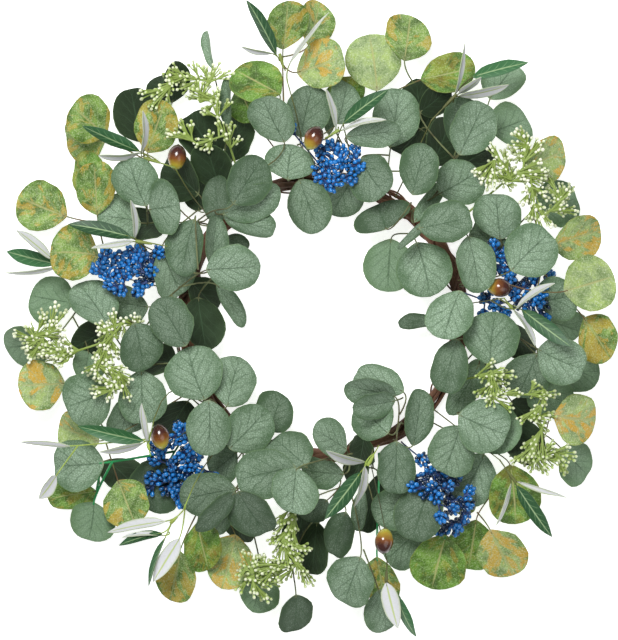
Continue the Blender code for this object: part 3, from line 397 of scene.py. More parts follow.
class Leaf(Laid):
    """A blade laid out from its row: bent and tipped as its seen length and width ask for."""

    def __init__(self, kind, row, rng):
        base_x, base_y, tip_x, tip_y, width, self.level = row
        self.kind = kind
        seen = math.hypot(tip_x - base_x, tip_y - base_y)
        way = math.atan2(tip_y - base_y, tip_x - base_x)
        pitch = math.acos(min(1.0, seen / TRUE_LENGTH[kind]))
        pitch = min(pitch, MOST_PITCH) * (1 if rng.random() < 0.3 + 0.12 * self.level else -1)
        pitch += math.radians(rng.uniform(-5, 5))
        roll = math.acos(min(1.0, width / TRUE_WIDTH[kind]))
        roll = min(roll, math.radians(MOST_ROLL[kind])) * rng.choice((-1, 1))
        roll += math.radians(rng.uniform(-5, 5))
        self.length = seen / math.cos(pitch)
        self.half = 0.5 * width / math.cos(roll)
        self.cup = rng.uniform(1.0, 2.6) * rng.choice((1, 1, -1))
        self.droop = rng.uniform(0.5, 2.5)
        ahead = Vector((math.cos(way), math.sin(way), 0.0))
        left = Vector((-math.sin(way), math.cos(way), 0.0))
        up = Vector((0.0, 0.0, 1.0))
        self.u = ahead * math.cos(pitch) + up * math.sin(pitch)
        lift = up * math.cos(pitch) - ahead * math.sin(pitch)
        self.v = left * math.cos(roll) + lift * math.sin(roll)
        self.w = lift * math.cos(roll) - left * math.sin(roll)
        self.base = Vector((base_x, base_y, 0.0))

    def at(self, along, across, lift=0.0):
        bend = self.cup * across * across - self.droop * (2 * along - 1) ** 2 + lift
        place = self.base + self.u * along * self.length + self.v * across * self.half
        return place + self.w * bend

    def plan(self):
        """The outline and the midrib, as shares along and across, and the triangles."""
        half = HALF[self.kind]
        start = BASE_HALF / self.half
        tip = [(1.0, 0.0)] if self.kind == "olive" else []
        outline = [(0.0, start), *half, *tip, *((a, -b) for a, b in reversed(half)), (0.0, -start)]
        if tip:
            return outline, [], [(0, 6, 1), (1, 6, 5), (1, 5, 2), (2, 5, 4), (2, 4, 3)]
        last = len(outline)
        return outline, [(0.5, 0.0)], [(i, last, (i + 1) % last) for i in range(last)]

    def mesh(self, thick=BLADE, path=(), radius=0.0):
        """The blade, and its stalk run on from its base along the path."""
        outline, inner, faces = self.plan()
        last = len(outline) - 1
        points = [self.at(a, b, thick / 2) for a, b in outline + inner]
        under = {0: len(points), last: len(points)}
        points.append(self.at(0.0, 0.0, -thick / 2))
        for i, share in enumerate(outline + inner):
            if i not in under:
                under[i] = len(points)
                points.append(self.at(*share, -thick / 2))
        solid = [(a, c, b) for a, b, c in faces]
        solid += [(under[a], under[b], under[c]) for a, b, c in faces]
        solid = [face for face in solid if len(set(face)) == 3]
        for i in range(last):
            solid += [(i, i + 1, under[i + 1]), (i, under[i + 1], under[i])]
        loop = [0, last, under[0]]
        if path:
            radii = [BASE_HALF] + [radius] * (len(path) - 2) + [radius * 0.6]
            run_tube(points, solid, loop, path, radii, self.v, self.w)
        else:
            solid.append(tuple(loop))
        return points, solid

    def root(self):
        """The middle of the blade's base, and the way its stalk sets off."""
        base = self.at(0.0, 0.0)
        return base, (base - self.at(0.16, 0.0)).normalized()


def run_tube(points, faces, loop, path, radii, side, up):
    """Runs a three-sided stalk on from a loop of points along the path, and closes its end."""
    hand = 1 if (path[1] - path[0]).cross(side).dot(up) > 0 else -1
    for i in range(1, len(path)):
        before = (path[i] - path[i - 1]).normalized()
        after = (path[i + 1] - path[i]).normalized() if i + 1 < len(path) else before
        side = (side - before * side.dot(before)).normalized()
        up = before.cross(side) * hand
        plane = (before + after).normalized()
        fresh = []
        for a, b in ((0.87, 0.5), (-0.87, 0.5), (0.0, -1.0)):
            corner = (side * a + up * b) * radii[i]
            shift = corner.dot(plane) / max(0.5, before.dot(plane))
            fresh.append(len(points))
            points.append(path[i] + corner - before * shift)
        for j in range(3):
            k = (j + 1) % 3
            faces += [(loop[j], fresh[j], fresh[k]), (loop[j], fresh[k], loop[k])]
        loop = fresh
    faces.append(tuple(loop))


def sweep(path, radii, sides, turn=0.0):
    """A closed body swept along the path; a radius of 0 at its start is one point."""
    points = []
    faces = []
    axis = (path[1] - path[0]).normalized()
    side = axis.orthogonal().normalized()
    loop = None
    for i, place in enumerate(path):
        before = (place - path[i - 1]).normalized() if i else axis
        after = (path[i + 1] - place).normalized() if i + 1 < len(path) else before
        side = (side - before * side.dot(before)).normalized()
        plane = (before + after).normalized()
        if radii[i] == 0.0:
            points.append(place)
            loop = [0] * sides
            continue
        fresh = []
        for j in range(sides):
            spin = math.tau * j / sides + turn
            corner = (side * math.cos(spin) + before.cross(side) * math.sin(spin)) * radii[i]
            shift = corner.dot(plane) / max(0.5, before.dot(plane))
            fresh.append(len(points))
            points.append(place + corner - before * shift)
        if loop is None:
            faces += [(fresh[0], fresh[k], fresh[k - 1]) for k in range(2, sides)]
        else:
            for j in range(sides):
                k = (j + 1) % sides
                faces.append((loop[j], fresh[j], fresh[k]))
                if loop[j] != loop[k]:
                    faces.append((loop[j], fresh[k], loop[k]))
        loop = fresh
    faces += [(loop[0], loop[k - 1], loop[k]) for k in range(2, sides)]
    return points, faces


def ball_mesh(centre, radius, stretch=None, sides=4, rings=2, turn=0.0):
    """A faceted ball, long along stretch where that's given."""
    axis = Vector((0, 0, 1)) if stretch is None else stretch.normalized()
    long = radius if stretch is None else stretch.length
    side_a = axis.orthogonal().normalized()
    side_b = axis.cross(side_a)
    points = [centre + axis * long]
    for i in range(1, rings):
        polar = math.pi * i / rings
        for j in range(sides):
            spin = math.tau * (j + 0.5 * (i % 2)) / sides + turn
            flat = side_a * math.cos(spin) + side_b * math.sin(spin)
            points.append(centre + axis * long * math.cos(polar) + flat * radius * math.sin(polar))
    points.append(centre - axis * long)
    last = len(points) - 1
    faces = []
    for j in range(sides):
        k = (j + 1) % sides
        faces.append((0, 1 + j, 1 + k))
        faces.append((last, last - sides + k, last - sides + j))
        for i in range(rings - 2):
            a, b = 1 + i * sides + j, 1 + i * sides + k
            c, d = a + sides, b + sides
            if i % 2:
                faces += [(a, c, b), (b, c, d)]
            else:
                faces += [(a, c, d), (a, d, b)]
    return points, faces


def crown(x, y, level):
    """The least height for a level: most over the ring, and less towards both edges."""
    off = (math.hypot(x, y) - CROWN_RADIUS) / CROWN_SPREAD
    return LOWEST + LEVEL_STEP * level * max(0.3, 1 - 0.55 * off * off)


class Heap:
    """What has been laid so far, as one surface that the next thing is dropped on."""

    def __init__(self):
        self.points = []
        self.faces = []
        self.owners = []
        self.tree = None

    def add(self, owner, mesh):
        points, faces = mesh
        start = len(self.points)
        self.points += points
        self.faces += [tuple(start + i for i in face) for face in faces]
        self.owners += [owner] * len(faces)
        self.tree = None

    def surface(self):
        if self.tree is None:
            self.tree = BVHTree.FromPolygons(self.points, self.faces)
        return self.tree

    def without(self, *owners):
        faces = [face for face, owner in zip(self.faces, self.owners) if owner not in owners]
        return BVHTree.FromPolygons(self.points, faces)

    def drop_owner(self, owner):
        kept = [k for k, other in enumerate(self.owners) if other != owner]
        self.faces = [self.faces[k] for k in kept]
        self.owners = [self.owners[k] for k in kept]
        self.tree = None

    def need(self, probes):
        """How far a set of points has to rise to clear what lies under them."""
        tree = self.surface()
        rise = -FAR
        for p in probes:
            hit = tree.ray_cast(Vector((p.x, p.y, SKY)), Vector((0, 0, -1)))[0]
            if hit is not None:
                rise = max(rise, hit.z + LEAF_GAP - p.z)
        return rise


def probes_of(mesh):
    """A mesh's points, and for each face its middle and that of an edge."""
    points, faces = mesh
    found = list(points)
    for face in faces:
        found.append(sum((points[i] for i in face), Vector()) / len(face))
        found.append((points[face[0]] + points[face[1]]) / 2)
    return found


def drop(heap, things, floor):
    """Raises the things together from their own level until they lie clear on top of the heap."""
    rise = floor - min(p.z for thing in things for p in thing.mesh()[0])
    rise = max(rise, *(heap.need(probes_of(thing.mesh())) for thing in things))
    for thing in things:
        thing.raise_by(rise)
    for _ in range(MOST_NUDGES):
        tree = heap.surface()
        grown = [BVHTree.FromPolygons(*thing.mesh(BLADE + 2 * LEAF_GAP)) for thing in things]
        if not any(tree.overlap(other) for other in grown):
            break
        for thing in things:
            thing.raise_by(NUDGE)


class Fruit(Laid):
    def __init__(self, row):
        x, y, way_x, way_y, self.level = row
        self.base = Vector((x, y, 0.0))
        self.way = Vector((way_x, way_y, 0.12)).normalized()

    def mesh(self, thick=BLADE):
        grown = thick - BLADE
        return ball_mesh(self.base, FRUIT_WIDE + grown, self.way * (FRUIT_LONG + grown), 8, 5)


class Ball(Laid):
    def __init__(self, x, y, radius, turn):
        self.base = Vector((x, y, 0.0))
        self.radius = radius
        self.turn = turn

    def mesh(self, thick=BLADE):
        return ball_mesh(self.base, self.radius + 0.5 * (thick - BLADE), turn=self.turn)


def tuft(rng, x, y, radius, ball, room):
    """Seeded places in a tuft, none nearer than room to another."""
    found = []
    wanted = max(1, round(0.6 * (radius / (0.5 * room)) ** 2))
    for _ in range(30 * wanted):
        spin = rng.uniform(0, math.tau)
        reach = radius * math.sqrt(rng.random())
        px, py = x + reach * math.cos(spin), y + reach * math.sin(spin)
        if all(math.hypot(px - b.base.x, py - b.base.y) >= room for b in found):
            found.append(Ball(px, py, ball, rng.uniform(0, math.pi / 2)))
        if len(found) == wanted:
            break
    return found


def clear(tree, start, end, reach):
    """True where nothing of the tree comes within about reach of the line."""
    steps = max(1, math.ceil((end - start).length / reach))
    spots = (start.lerp(end, i / steps) for i in range(steps + 1))
    return all(tree.find_nearest(spot, reach)[0] is None for spot in spots)


def turning(before, place, after):
    """What a turn adds to a way's cost, in millimetres."""
    turn = (place - before).normalized().dot((after - place).normalized())
    return TURN * (1 - turn) + (6 * TURN if turn < -0.3 else 0.0)


class Roads:
    """Ways that stalks can take through the free room between the blades of other sprays."""

    def __init__(self, tree, own, reach, must, rng, low, high, count):
        self.tree = tree
        self.own = own
        self.ends = len(must)
        self.reach = reach
        self.points = list(must)
        tries = 0
        while len(self.points) < len(must) + count and tries < 12 * count:
            tries += 1
            z = low.z + (high.z - low.z) * rng.random() ** 1.6
            p = Vector((rng.uniform(low.x, high.x), rng.uniform(low.y, high.y), z))
            if tree.find_nearest(p, reach * 1.3)[0] is None:
                self.points.append(p)
        self.known = {}

    def neighbours(self):
        where = np.array([tuple(p) for p in self.points])
        self.apart = np.linalg.norm(where[:, None] - where[None], axis=2)
        order = np.argsort(self.apart, axis=1)[:, 1 : NEIGHBOURS + 1]
        beside = [set(map(int, row)) for row in order]
        for i, row in enumerate(order):
            for j in row:
                beside[int(j)].add(i)
        return [sorted(found) for found in beside]

    def joined(self, i, j):
        key = (min(i, j), max(i, j))
        if key not in self.known:
            start, end = self.points[key[0]], self.points[key[1]]
            free = clear(self.tree, start, end, self.reach)
            if free and self.own is not None:
                way = end - start
                near = 0.25 if key[0] < self.ends else 0.0
                far = 0.75 if key[1] < self.ends else 1.0
                if not clear(self.own, start + way * near, start + way * far, self.reach):
                    free = None
            self.known[key] = free
        return self.known[key]

    def grow(self, root, ends, tails):
        """Joins every end to the root by the shortest ways to what is already joined."""
        free = {root}
        paths = {}
        todo = set(ends)
        while todo:
            beside = self.neighbours()
            best = {i: 0.0 for i in free}
            back = {}
            queue = [(0.0, i) for i in sorted(free)]
            heapq.heapify(queue)
            reached = None
            settled = set()
            while queue:
                cost, i = heapq.heappop(queue)
                if i in settled:
                    continue
                settled.add(i)
                if i in todo:
                    reached = i
                    break
                for j in beside[i]:
                    if j in settled:
                        continue
                    onward = cost + float(self.apart[i, j]) + HOP
                    if i in back:
                        onward += turning(self.points[back[i]], self.points[i], self.points[j])
                    if j in todo and tails[j]:
                        onward += turning(self.points[i], self.points[j], tails[j][0])
                    if onward >= best.get(j, FAR):
                        continue
                    open_way = self.joined(i, j)
                    if open_way is None:
                        onward += CROSSING
                    if open_way is not False and onward < best.get(j, FAR):
                        best[j] = onward
                        back[j] = i
                        heapq.heappush(queue, (onward, j))
            if reached is None:
                break
            path = [reached]
            while path[-1] in back:
                path.append(back[path[-1]])
            path = self.straighten(path)
            paths[reached] = path
            free.discard(path[-1])
            free |= set(path[:-1])
            todo -= set(path)
            for i, j in zip(path, path[1:]):
                parts = int(self.apart[i, j] / JOINT_ROOM)
                for k in range(1, parts):
                    free.add(len(self.points))
                    self.points.append(self.points[i].lerp(self.points[j], k / parts))
        return paths, todo

    def straighten(self, path):
        kept = [path[0]]
        i = 0
        while i < len(path) - 1:
            j = len(path) - 1
            while j > i + 1 and not self.joined(path[i], path[j]):
                j -= 1
            kept.append(path[j])
            i = j
        return kept


def ring_foot(ring_tree, x, y, rng, tree, reach):
    """A free spot just off the ring's skin near x, y: its end, then a point further out."""
    turn = math.atan2(y, x)
    side = 0.9 if math.hypot(x, y) < RING_RADIUS else 0.35
    for tries in range(FOOT_TRIES):
        spread = 0.03 + 0.002 * tries
        a = turn + rng.uniform(-spread, spread)
        b = math.pi * (side + rng.uniform(-0.25, 0.25) * (1 + tries / 100))
        if b < 0.0 or b > math.pi:
            continue
        skin, normal = ring_tree.find_nearest(on_ring(a, b, FOOT_VIEW))[:2]
        foot = skin + normal * FOOT_GAP
        knee = skin + normal * KNEE
        if knee.z > LOWEST_STALK and clear(tree, foot, knee, reach):
            return foot, knee
    return None, None


def middle_of(places):
    return [sum(place[i] for place in places) / len(places) for i in (0, 1)]


def lay_out():
    """Lays every piece, then runs the stalks: the solid bodies, what they carry, the routes."""
    heap = Heap()
    ring = ring_mesh()
    heap.add("vine_ring", ring)
    queue = []
    sprays = {}
    for kind, table in (("round", ROUND), ("mottled", MOTTLED)):
        for node, rows in table.items():
            rng = random.Random(f"{node} leaves")
            leaves = [Leaf(kind, row, rng) for row in rows]
            sprays[node] = (kind, leaves)
            queue += [(leaf.level, node, [leaf]) for leaf in leaves]
    hubs = {}
    for node, (hub, rows) in OLIVE.items():
        rng = random.Random(f"{node} leaves")
        leaves = [Leaf("olive", row, rng) for row in rows]
        hubs[node] = [Ball(*place, HUB, 0.3) for place in (hub[:2], hub[2:])]
        sprays[node] = ("olive", leaves)
        queue.append((leaves[0].level, node, leaves + hubs[node]))
    for node, row in FRUIT.items():
        fruit = Fruit(row)
        sprays[node] = ("fruit", [fruit])
        queue.append((fruit.level, node, [fruit]))
    for kind, table, ball, room in (("berry", BERRIES, BERRY, 8.8), ("seed", SEEDS, BUD, 8.0)):
        for node, tufts in table.items():
            rng = random.Random(f"{node} tufts")
            balls = [b for row in tufts for b in tuft(rng, *row, ball, room)]
            sprays[node] = (kind, balls)
            queue += [(BERRY_LEVEL.get(node, SEED_LEVEL) + 0.5, node, [b]) for b in balls]
    queue.sort(key=lambda entry: entry[0])
    for level, node, things in queue:
        drop(heap, things, crown(*middle_of([thing.base for thing in things]), level))
        for thing in things:
            heap.add(node, thing.mesh())
        if node in OLIVE:
            heap.add(node, sweep([thing.base for thing in things[-2:]], [1.0, 1.0], 3))
    ring_tree = BVHTree.FromPolygons(*ring)
    made = {"vine_ring": [ring]}
    routes = {}
    for node, (kind, things) in sprays.items():
        rng = random.Random(f"{node} stalks")
        joints = [ball.base.copy() for ball in hubs.get(node, ())]
        made[node], routes[node] = run_stalks(node, kind, things, joints, heap, ring_tree, rng)
        heap.drop_owner(node)
        for mesh in made[node]:
            heap.add(node, mesh)
    return made, {node: things for node, (_, things) in sprays.items()}, routes


def run_stalks(node, kind, things, joints, heap, ring_tree, rng):
    """The node's solid bodies, and the way that each of its stalks takes."""
    radius = STEM[kind]
    reach = radius + 0.5
    tree = heap.without(node)
    ends = []
    tails = []
    for thing in things:
        if isinstance(thing, Leaf):
            base, back = thing.root()
            for long, down in TAILS:
                tail = base + back * long + Vector((0, 0, -down))
                if tail.z > LOWEST_STALK and clear(tree, base, tail, reach):
                    break
            ends.append(tail)
            tails.append([base])
        elif isinstance(thing, Fruit):
            ends.append(thing.base - thing.way * (FRUIT_LONG + 2))
            tails.append([thing.base - thing.way * (FRUIT_LONG - 4)])
        else:
            ends.append(thing.base.copy())
            tails.append([])
    ends += joints
    tails += [[]] * len(joints)
    around = heap.without(node, "vine_ring")
    foot, knee = ring_foot(ring_tree, *middle_of(ends), rng, around, reach)
    if foot is None:
        raise RuntimeError(f"{node} finds no foot on the ring")
    must = ends + [knee]
    xs, ys, zs = zip(*must)
    low = Vector((min(xs) - ROAM, min(ys) - ROAM, LOWEST_STALK))
    high = Vector((max(xs) + ROAM, max(ys) + ROAM, max(zs) + 4))
    own = None
    if kind not in ("berry", "seed"):
        own = BVHTree.FromPolygons(*merged(thing.mesh() for thing in things))
    for count in ROAD_POINTS:
        roads = Roads(tree, own, reach, must, rng, low, high, count)
        paths, todo = roads.grow(len(ends), range(len(ends)), tails)
        if not todo:
            break
    made = []
    routes = []
    for i, thing in enumerate(things + joints):
        path = tails[i] + [roads.points[j] for j in paths.get(i, [i])]
        if paths.get(i, [0])[-1] == len(ends):
            path.append(foot)
        elif len(path) > 1:
            path[-1] = path[-1] + (path[-1] - path[-2]).normalized() * 0.25
        routes.append(path)
        if len(path) == 1:
            if not isinstance(thing, Vector):
                made.append(thing.mesh())
            continue
        first, *rest = at_sharp_turns(path)
        if isinstance(thing, Leaf):
            made.append(thing.mesh(BLADE, first, radius))
        elif isinstance(thing, Fruit):
            made.append(thing.mesh())
            rest = [first] + rest
        elif isinstance(thing, Vector):
            rest = [[first[0] + (first[0] - first[1]).normalized() * 0.4] + first[1:]] + rest
        else:
            made.append(headed(first, thing.radius, radius, 3, thing.turn))
        for line in rest:
            radii = [radius] * (len(line) - 1) + [radius * 0.7]
            made.append(sweep(line, radii, 3, rng.uniform(0, 2)))
    return made, routes


def at_sharp_turns(path):
    """The path parted wherever it turns sharply, each part run a little past the turn."""
    parts = [[path[0]]]
    for i in range(1, len(path)):
        parts[-1].append(path[i])
        if i + 1 == len(path):
            break
        before = (path[i] - path[i - 1]).normalized()
        after = (path[i + 1] - path[i]).normalized()
        short = min((path[i] - path[i - 1]).length, (path[i + 1] - path[i]).length) < 4.5
        if before.dot(after) < (0.25 if short else -0.3):
            parts[-1][-1] = path[i] + before * 0.5
            parts.append([path[i] - after * 0.5])
    return parts


def headed(path, head, radius, sides, turn):
    """A berry or bud on the end of its stalk, in one body."""
    way = (path[1] - path[0]).normalized()
    line = [path[0] - way * head, path[0], path[0] + way * head * 0.9] + path[1:]
    radii = [0.0, head, radius] + [radius] * (len(path) - 2) + [radius * 0.6]
    return sweep(line, radii, sides, turn)


# Round leaves, by where they start, that are smooth and green or dark in place of dusty.
SMOOTH = [
    (-238, 15), (205, 105), (160, 210), (163, 178), (-262, -25), (215, -40), (230, -125),
    (95, -200), (-58, -238), (-217, -175), (66, 76), (150, -85), (212, -2), (196, -66), (136, -50),
    (-222, -32),
]
# Round leaves that stand a little in the shade of others, and those that stand deep in it.
DIM = [
    (-84, 108), (30, 135), (36, 152), (-22, 132), (92, 86), (105, 98), (128, -20), (88, -122),
    (100, -170), (38, -163), (-15, -140), (-50, -108), (-25, -142), (-82, -163), (-178, -5),
    (-122, 94), (-166, 10), (-94, 99), (-165, 103), (-90, 180), (72, -117), (-130, -27), (-20, 172),
    (205, -35), (85, 117), (-104, 48), (176, 60), (8, 176), (-82, -128),
]
DEEP = [
    (61, 85), (127, 162), (108, -2), (102, -160), (95, -200), (22, -185), (5, -175), (-82, -166),
    (-88, -172), (-80, -165), (-145, -135), (-98, 90), (-96, 76), (-24, -265),
]
# Mottled leaves that are bright green all over, and those with a pale veil and ochre patches.
BRIGHT = [
    (-40, 214), (-65, 188), (118, -207), (180, -140), (147, -193), (-120, -195), (-215, -165),
    (-205, 130), (126, -185), (20, 195), (94, 228),
]
VEILED = [
    (-24, 234), (193, 143), (220, 68), (160, -203), (-82, -207), (-245, -62), (230, 25), (53, 217),
    (-213, -118), (222, -93),
]
# Olive leaves that lie with their white back up, by their place in their sprig's rows.
BACK_UP = {
    "olive_sprig_nw": (1, 2), "olive_sprig_n": (1, 2), "olive_sprig_top": (0, 2),
    "olive_sprig_ne": (0, 2, 3), "olive_sprig_w": (1, 2), "olive_sprig_w_outer": (0, 2),
    "olive_sprig_e": (0, 1), "olive_sprig_wsw": (1, 2, 3, 4), "olive_sprig_sw": (0, 1, 3),
    "olive_sprig_s": (0, 1), "olive_sprig_se": (0, 1), "olive_sprig_sse": (0,),
}
# How many offshoots a tuft has, where it isn't as many as the others'.
DENSER = {
    "berry_bunch_e": 4, "berry_bunch_sw": 1, "berry_bunch_se": 1, "seed_spray_ne": 5,
    "seed_spray_se": 2,
}
# Sprays whose buds are paler.
PALER = ("seed_spray_w", "seed_spray_ne")
# Mottled leaves without ochre.
UNSPOTTED = ((230, 25), (53, 217), (-65, 188))
# Stems whose stalks are bright green wire, and how much thicker that is.
WIRED = ("eucalyptus_sw_outer", "mottled_s")
WIRE_THICKER = 1.5
# Heights in metres between which a stalk's own colours turn to its painted shade colour.
STALK_LIT_HEIGHT = 0.095
STALK_SHADE_HEIGHT = 0.06
# Bunches: heads round each middle one, their reach, offshoots of a tuft, how far the fans start to
# one side, and the radii of the main and the thin stalks. Then how near a head shades a lower one,
# and how often a free place is looked for.
BUNCH = {
    "berries": (13, 4.8, 0, 0.0, 0.8, 0.5),
    "buds": (6, 4.6, 3, 7.0, 1.0, 0.6),
}
SHADE_REACH = 8.0
HEAD_TRIES = 14
OFFSHOOT_TRIES = 24
# Twigs of the ring: points on a thick one, how many thin ones, and points on each.
TWIG_STEPS = 150
THIN_TWIGS = 6
THIN_TWIG_STEPS = 90
# How far a blade's finished columns are kept from those that are still to be shaped.
ASIDE = 10

# The lights: place, size and power. The picture: its middle from the ring's in millimetres, its
# height in metres, the level that it's measured at and how far above that the camera is.
LIGHTS = (("key", (-0.4, 0.8, 1.9), 0.8, 38.5), ("fill", (0.9, -0.7, 1.7), 1.6, 9.0))
PICTURE_MIDDLE = (-12.39, -1.906)
PICTURE_TALL = 0.610
CAMERA_LEVEL = 0.05
CAMERA_AWAY = 10.0


def span(name, description, value):
    return FloatProperty(name=name, description=description, default=value, unit="LENGTH")


class WreathSizes(bpy.types.PropertyGroup):
    leaf_thickness: span("Leaf thickness", "Thickness of a leaf's cloth", 0.0006)
    leaf_wave: span("Leaf wave", "How far a leaf's rim waves up and down", 0.0009)
    berry_width: span("Berry width", "Width of a berry", 0.0043)
    bud_width: span("Bud width", "Width of a bud", 0.0034)
    twig_count: IntProperty(
        name="Twigs", description="Number of thick twigs wound into the ring", default=8
    )
    twig_radius: span("Twig radius", "Radius of a thick twig of the ring", 0.0029)


def tint(name, description, value):
    return FloatVectorProperty(
        name=name, description=description, subtype="COLOR", size=3, min=0.0, max=1.0, default=value
    )


class WreathColours(bpy.types.PropertyGroup):
    leaf_net: tint("Leaf veins", "Fine dark veins of a dusty leaf", (0.042, 0.090, 0.040))
    leaf_dust: tint("Leaf dust", "Pale dust between a leaf's veins", (0.355, 0.475, 0.350))
    leaf_green: tint("Leaf green", "Green under a leaf's dust", (0.088, 0.165, 0.078))
    leaf_back: tint("Leaf back", "Underside of a dusty leaf", (0.330, 0.400, 0.270))
    leaf_smooth: tint("Smooth leaf", "A leaf without dust", (0.150, 0.250, 0.130))
    # painted shade: the colour of a leaf that lies deep in the shade of others
    leaf_shade: tint("Dark leaf", "A dark leaf low in the wreath", (0.010, 0.024, 0.006))
    mottled_green: tint("Mottled green", "Ground of a mottled leaf", (0.092, 0.205, 0.016))
    mottled_pale: tint("Mottled veil", "Pale veil of a mottled leaf", (0.430, 0.520, 0.270))
    mottled_ochre: tint("Mottled ochre", "Patches of a mottled leaf", (0.620, 0.350, 0.022))
    olive_top: tint("Olive leaf", "Upper face of an olive leaf", (0.022, 0.098, 0.030))
    olive_back: tint("Olive leaf back", "Lower face of an olive leaf", (0.660, 0.670, 0.690))
    berry_blue: tint("Berry", "A berry's skin", (0.012, 0.215, 0.640))
    bud_cream: tint("Bud", "A bud", (0.870, 0.890, 0.730))
    stem_green: tint("Green stalk", "Stalks of the sprays and sprigs", (0.330, 0.460, 0.080))
    bark: tint("Bark", "The ring's bark", (0.095, 0.040, 0.022))


def sizes():
    return bpy.context.scene.wreath_sizes


def colours():
    return bpy.context.scene.wreath_colours


class Tone:
    """A value in a finish's node tree. Arithmetic on it adds Math nodes."""

    def __init__(self, tree, socket=None):
        self.tree = tree
        self.socket = socket

    def node(self, kind, settings=(), inputs=(), out=0):
        """Any other node: its settings first, then the values or links of its sockets."""
        made = self.tree.nodes.new(kind)
        for name, value in dict(settings).items():
            if name == "stops":
                ramp = made.color_ramp.elements
                ramp[0].position, ramp[0].color = value[0]
                ramp[1].position, ramp[1].color = value[-1]
                for place, colour in value[1:-1]:
                    ramp.new(place).color = colour
            else:
                setattr(made, name, value)
        for key, value in dict(inputs).items():
            if isinstance(value, Tone):
                self.tree.links.new(value.socket, made.inputs[key])
            else:
                made.inputs[key].default_value = value
        return Tone(self.tree, made.outputs[out])

    def maths(self, operation, *values):
        return self.node("ShaderNodeMath", {"operation": operation}, dict(enumerate(values)))

    def __add__(self, other):
        return self.maths("ADD", self, other)

    def __radd__(self, other):
        return self.maths("ADD", other, self)

    def __sub__(self, other):
        return self.maths("SUBTRACT", self, other)

    def __rsub__(self, other):
        return self.maths("SUBTRACT", other, self)

    def __mul__(self, other):
        return self.maths("MULTIPLY", self, other)

    def __rmul__(self, other):
        return self.maths("MULTIPLY", other, self)

    def __abs__(self):
        return self.maths("ABSOLUTE", self)

    def fraction(self):
        return self.maths("FRACT", self)

    def larger(self, other):
        return self.maths("MAXIMUM", self, other)

    def step(self, low, high):
        """0 at low and 1 at high, eased at both ends; low may be the larger."""
        limits = {"Value": self, "From Min": low, "From Max": high}
        return self.node("ShaderNodeMapRange", {"interpolation_type": "SMOOTHSTEP"}, limits)

    def mixed(self, first, second):
        """The two colours mixed by this value."""
        paints = {0: self, 6: solid(first), 7: solid(second)}
        return self.node("ShaderNodeMix", {"data_type": "RGBA"}, paints, 2)

    def noise(self, scale, detail=2.0, rough=0.5, distortion=0.0):
        inputs = {"Vector": self, "Scale": scale, "Detail": detail, "Roughness": rough}
        return self.node("ShaderNodeTexNoise", (), {**inputs, "Distortion": distortion})

    def cells(self, scale, feature="F1"):
        inputs = {"Vector": self, "Scale": scale}
        return self.node("ShaderNodeTexVoronoi", {"feature": feature}, inputs)

    def part(self, channel):
        """One number of a vector."""
        return self.node("ShaderNodeSeparateXYZ", (), {0: self}, channel)

    def place(self):
        return self.node("ShaderNodeTexCoord", (), (), "Object")

    def blade_place(self):
        """How far along a blade and how far across it, each from 0 to 1."""
        return self.node("ShaderNodeUVMap", {"uv_map": "blade"})

    def drawn(self):
        """The three draws of a leaf, head or twig, which its points carry."""
        draws = self.node("ShaderNodeAttribute", {"attribute_name": "draws"})
        split = "ShaderNodeSeparateColor"
        return [self.node(split, (), {0: draws}, channel) for channel in range(3)]


def solid(colour):
    return colour if isinstance(colour, Tone) else (*colour, 1.0)


def shade(colour, factor):
    """A plain colour made lighter or darker."""
    return tuple(min(1.0, part * factor) for part in colour)


def new_finish(name):
    material = bpy.data.materials.new(name)
    material.use_nodes = True
    return material, Tone(material.node_tree)


def finish_off(material, base, height=None, strength=0.3, depth=0.0004, **others):
    """Gives a material its colour, its bump and the rest of its shader's sockets."""
    tree = material.node_tree
    if height is not None:
        bump = {"Strength": strength, "Distance": depth, "Height": height}
        others["Normal"] = Tone(tree).node("ShaderNodeBump", (), bump)
    for key, value in {"Base_Color": solid(base), **others}.items():
        socket = tree.nodes["Principled BSDF"].inputs[key.replace("_", " ")]
        if isinstance(value, Tone):
            tree.links.new(value.socket, socket)
        else:
            socket.default_value = value
    return material


def blade_values(start):
    """What a blade's finish reads: how far along and across, the leaf's draws, and the place."""
    where = start.blade_place()
    return where.part(0), abs(where.part(1) * 2.0 - 1.0), *start.drawn(), start.place()


def side_veins(along, across, place, count, slant, width):
    """1 on the thin veins that arch from the midrib towards the rim."""
    stray = place.noise(110.0, 2.0) * 0.7
    wave = (along * count - across * slant + across * across * (slant * 0.3) + stray).fraction()
    return abs(wave - 0.5).step(width, 0.0)


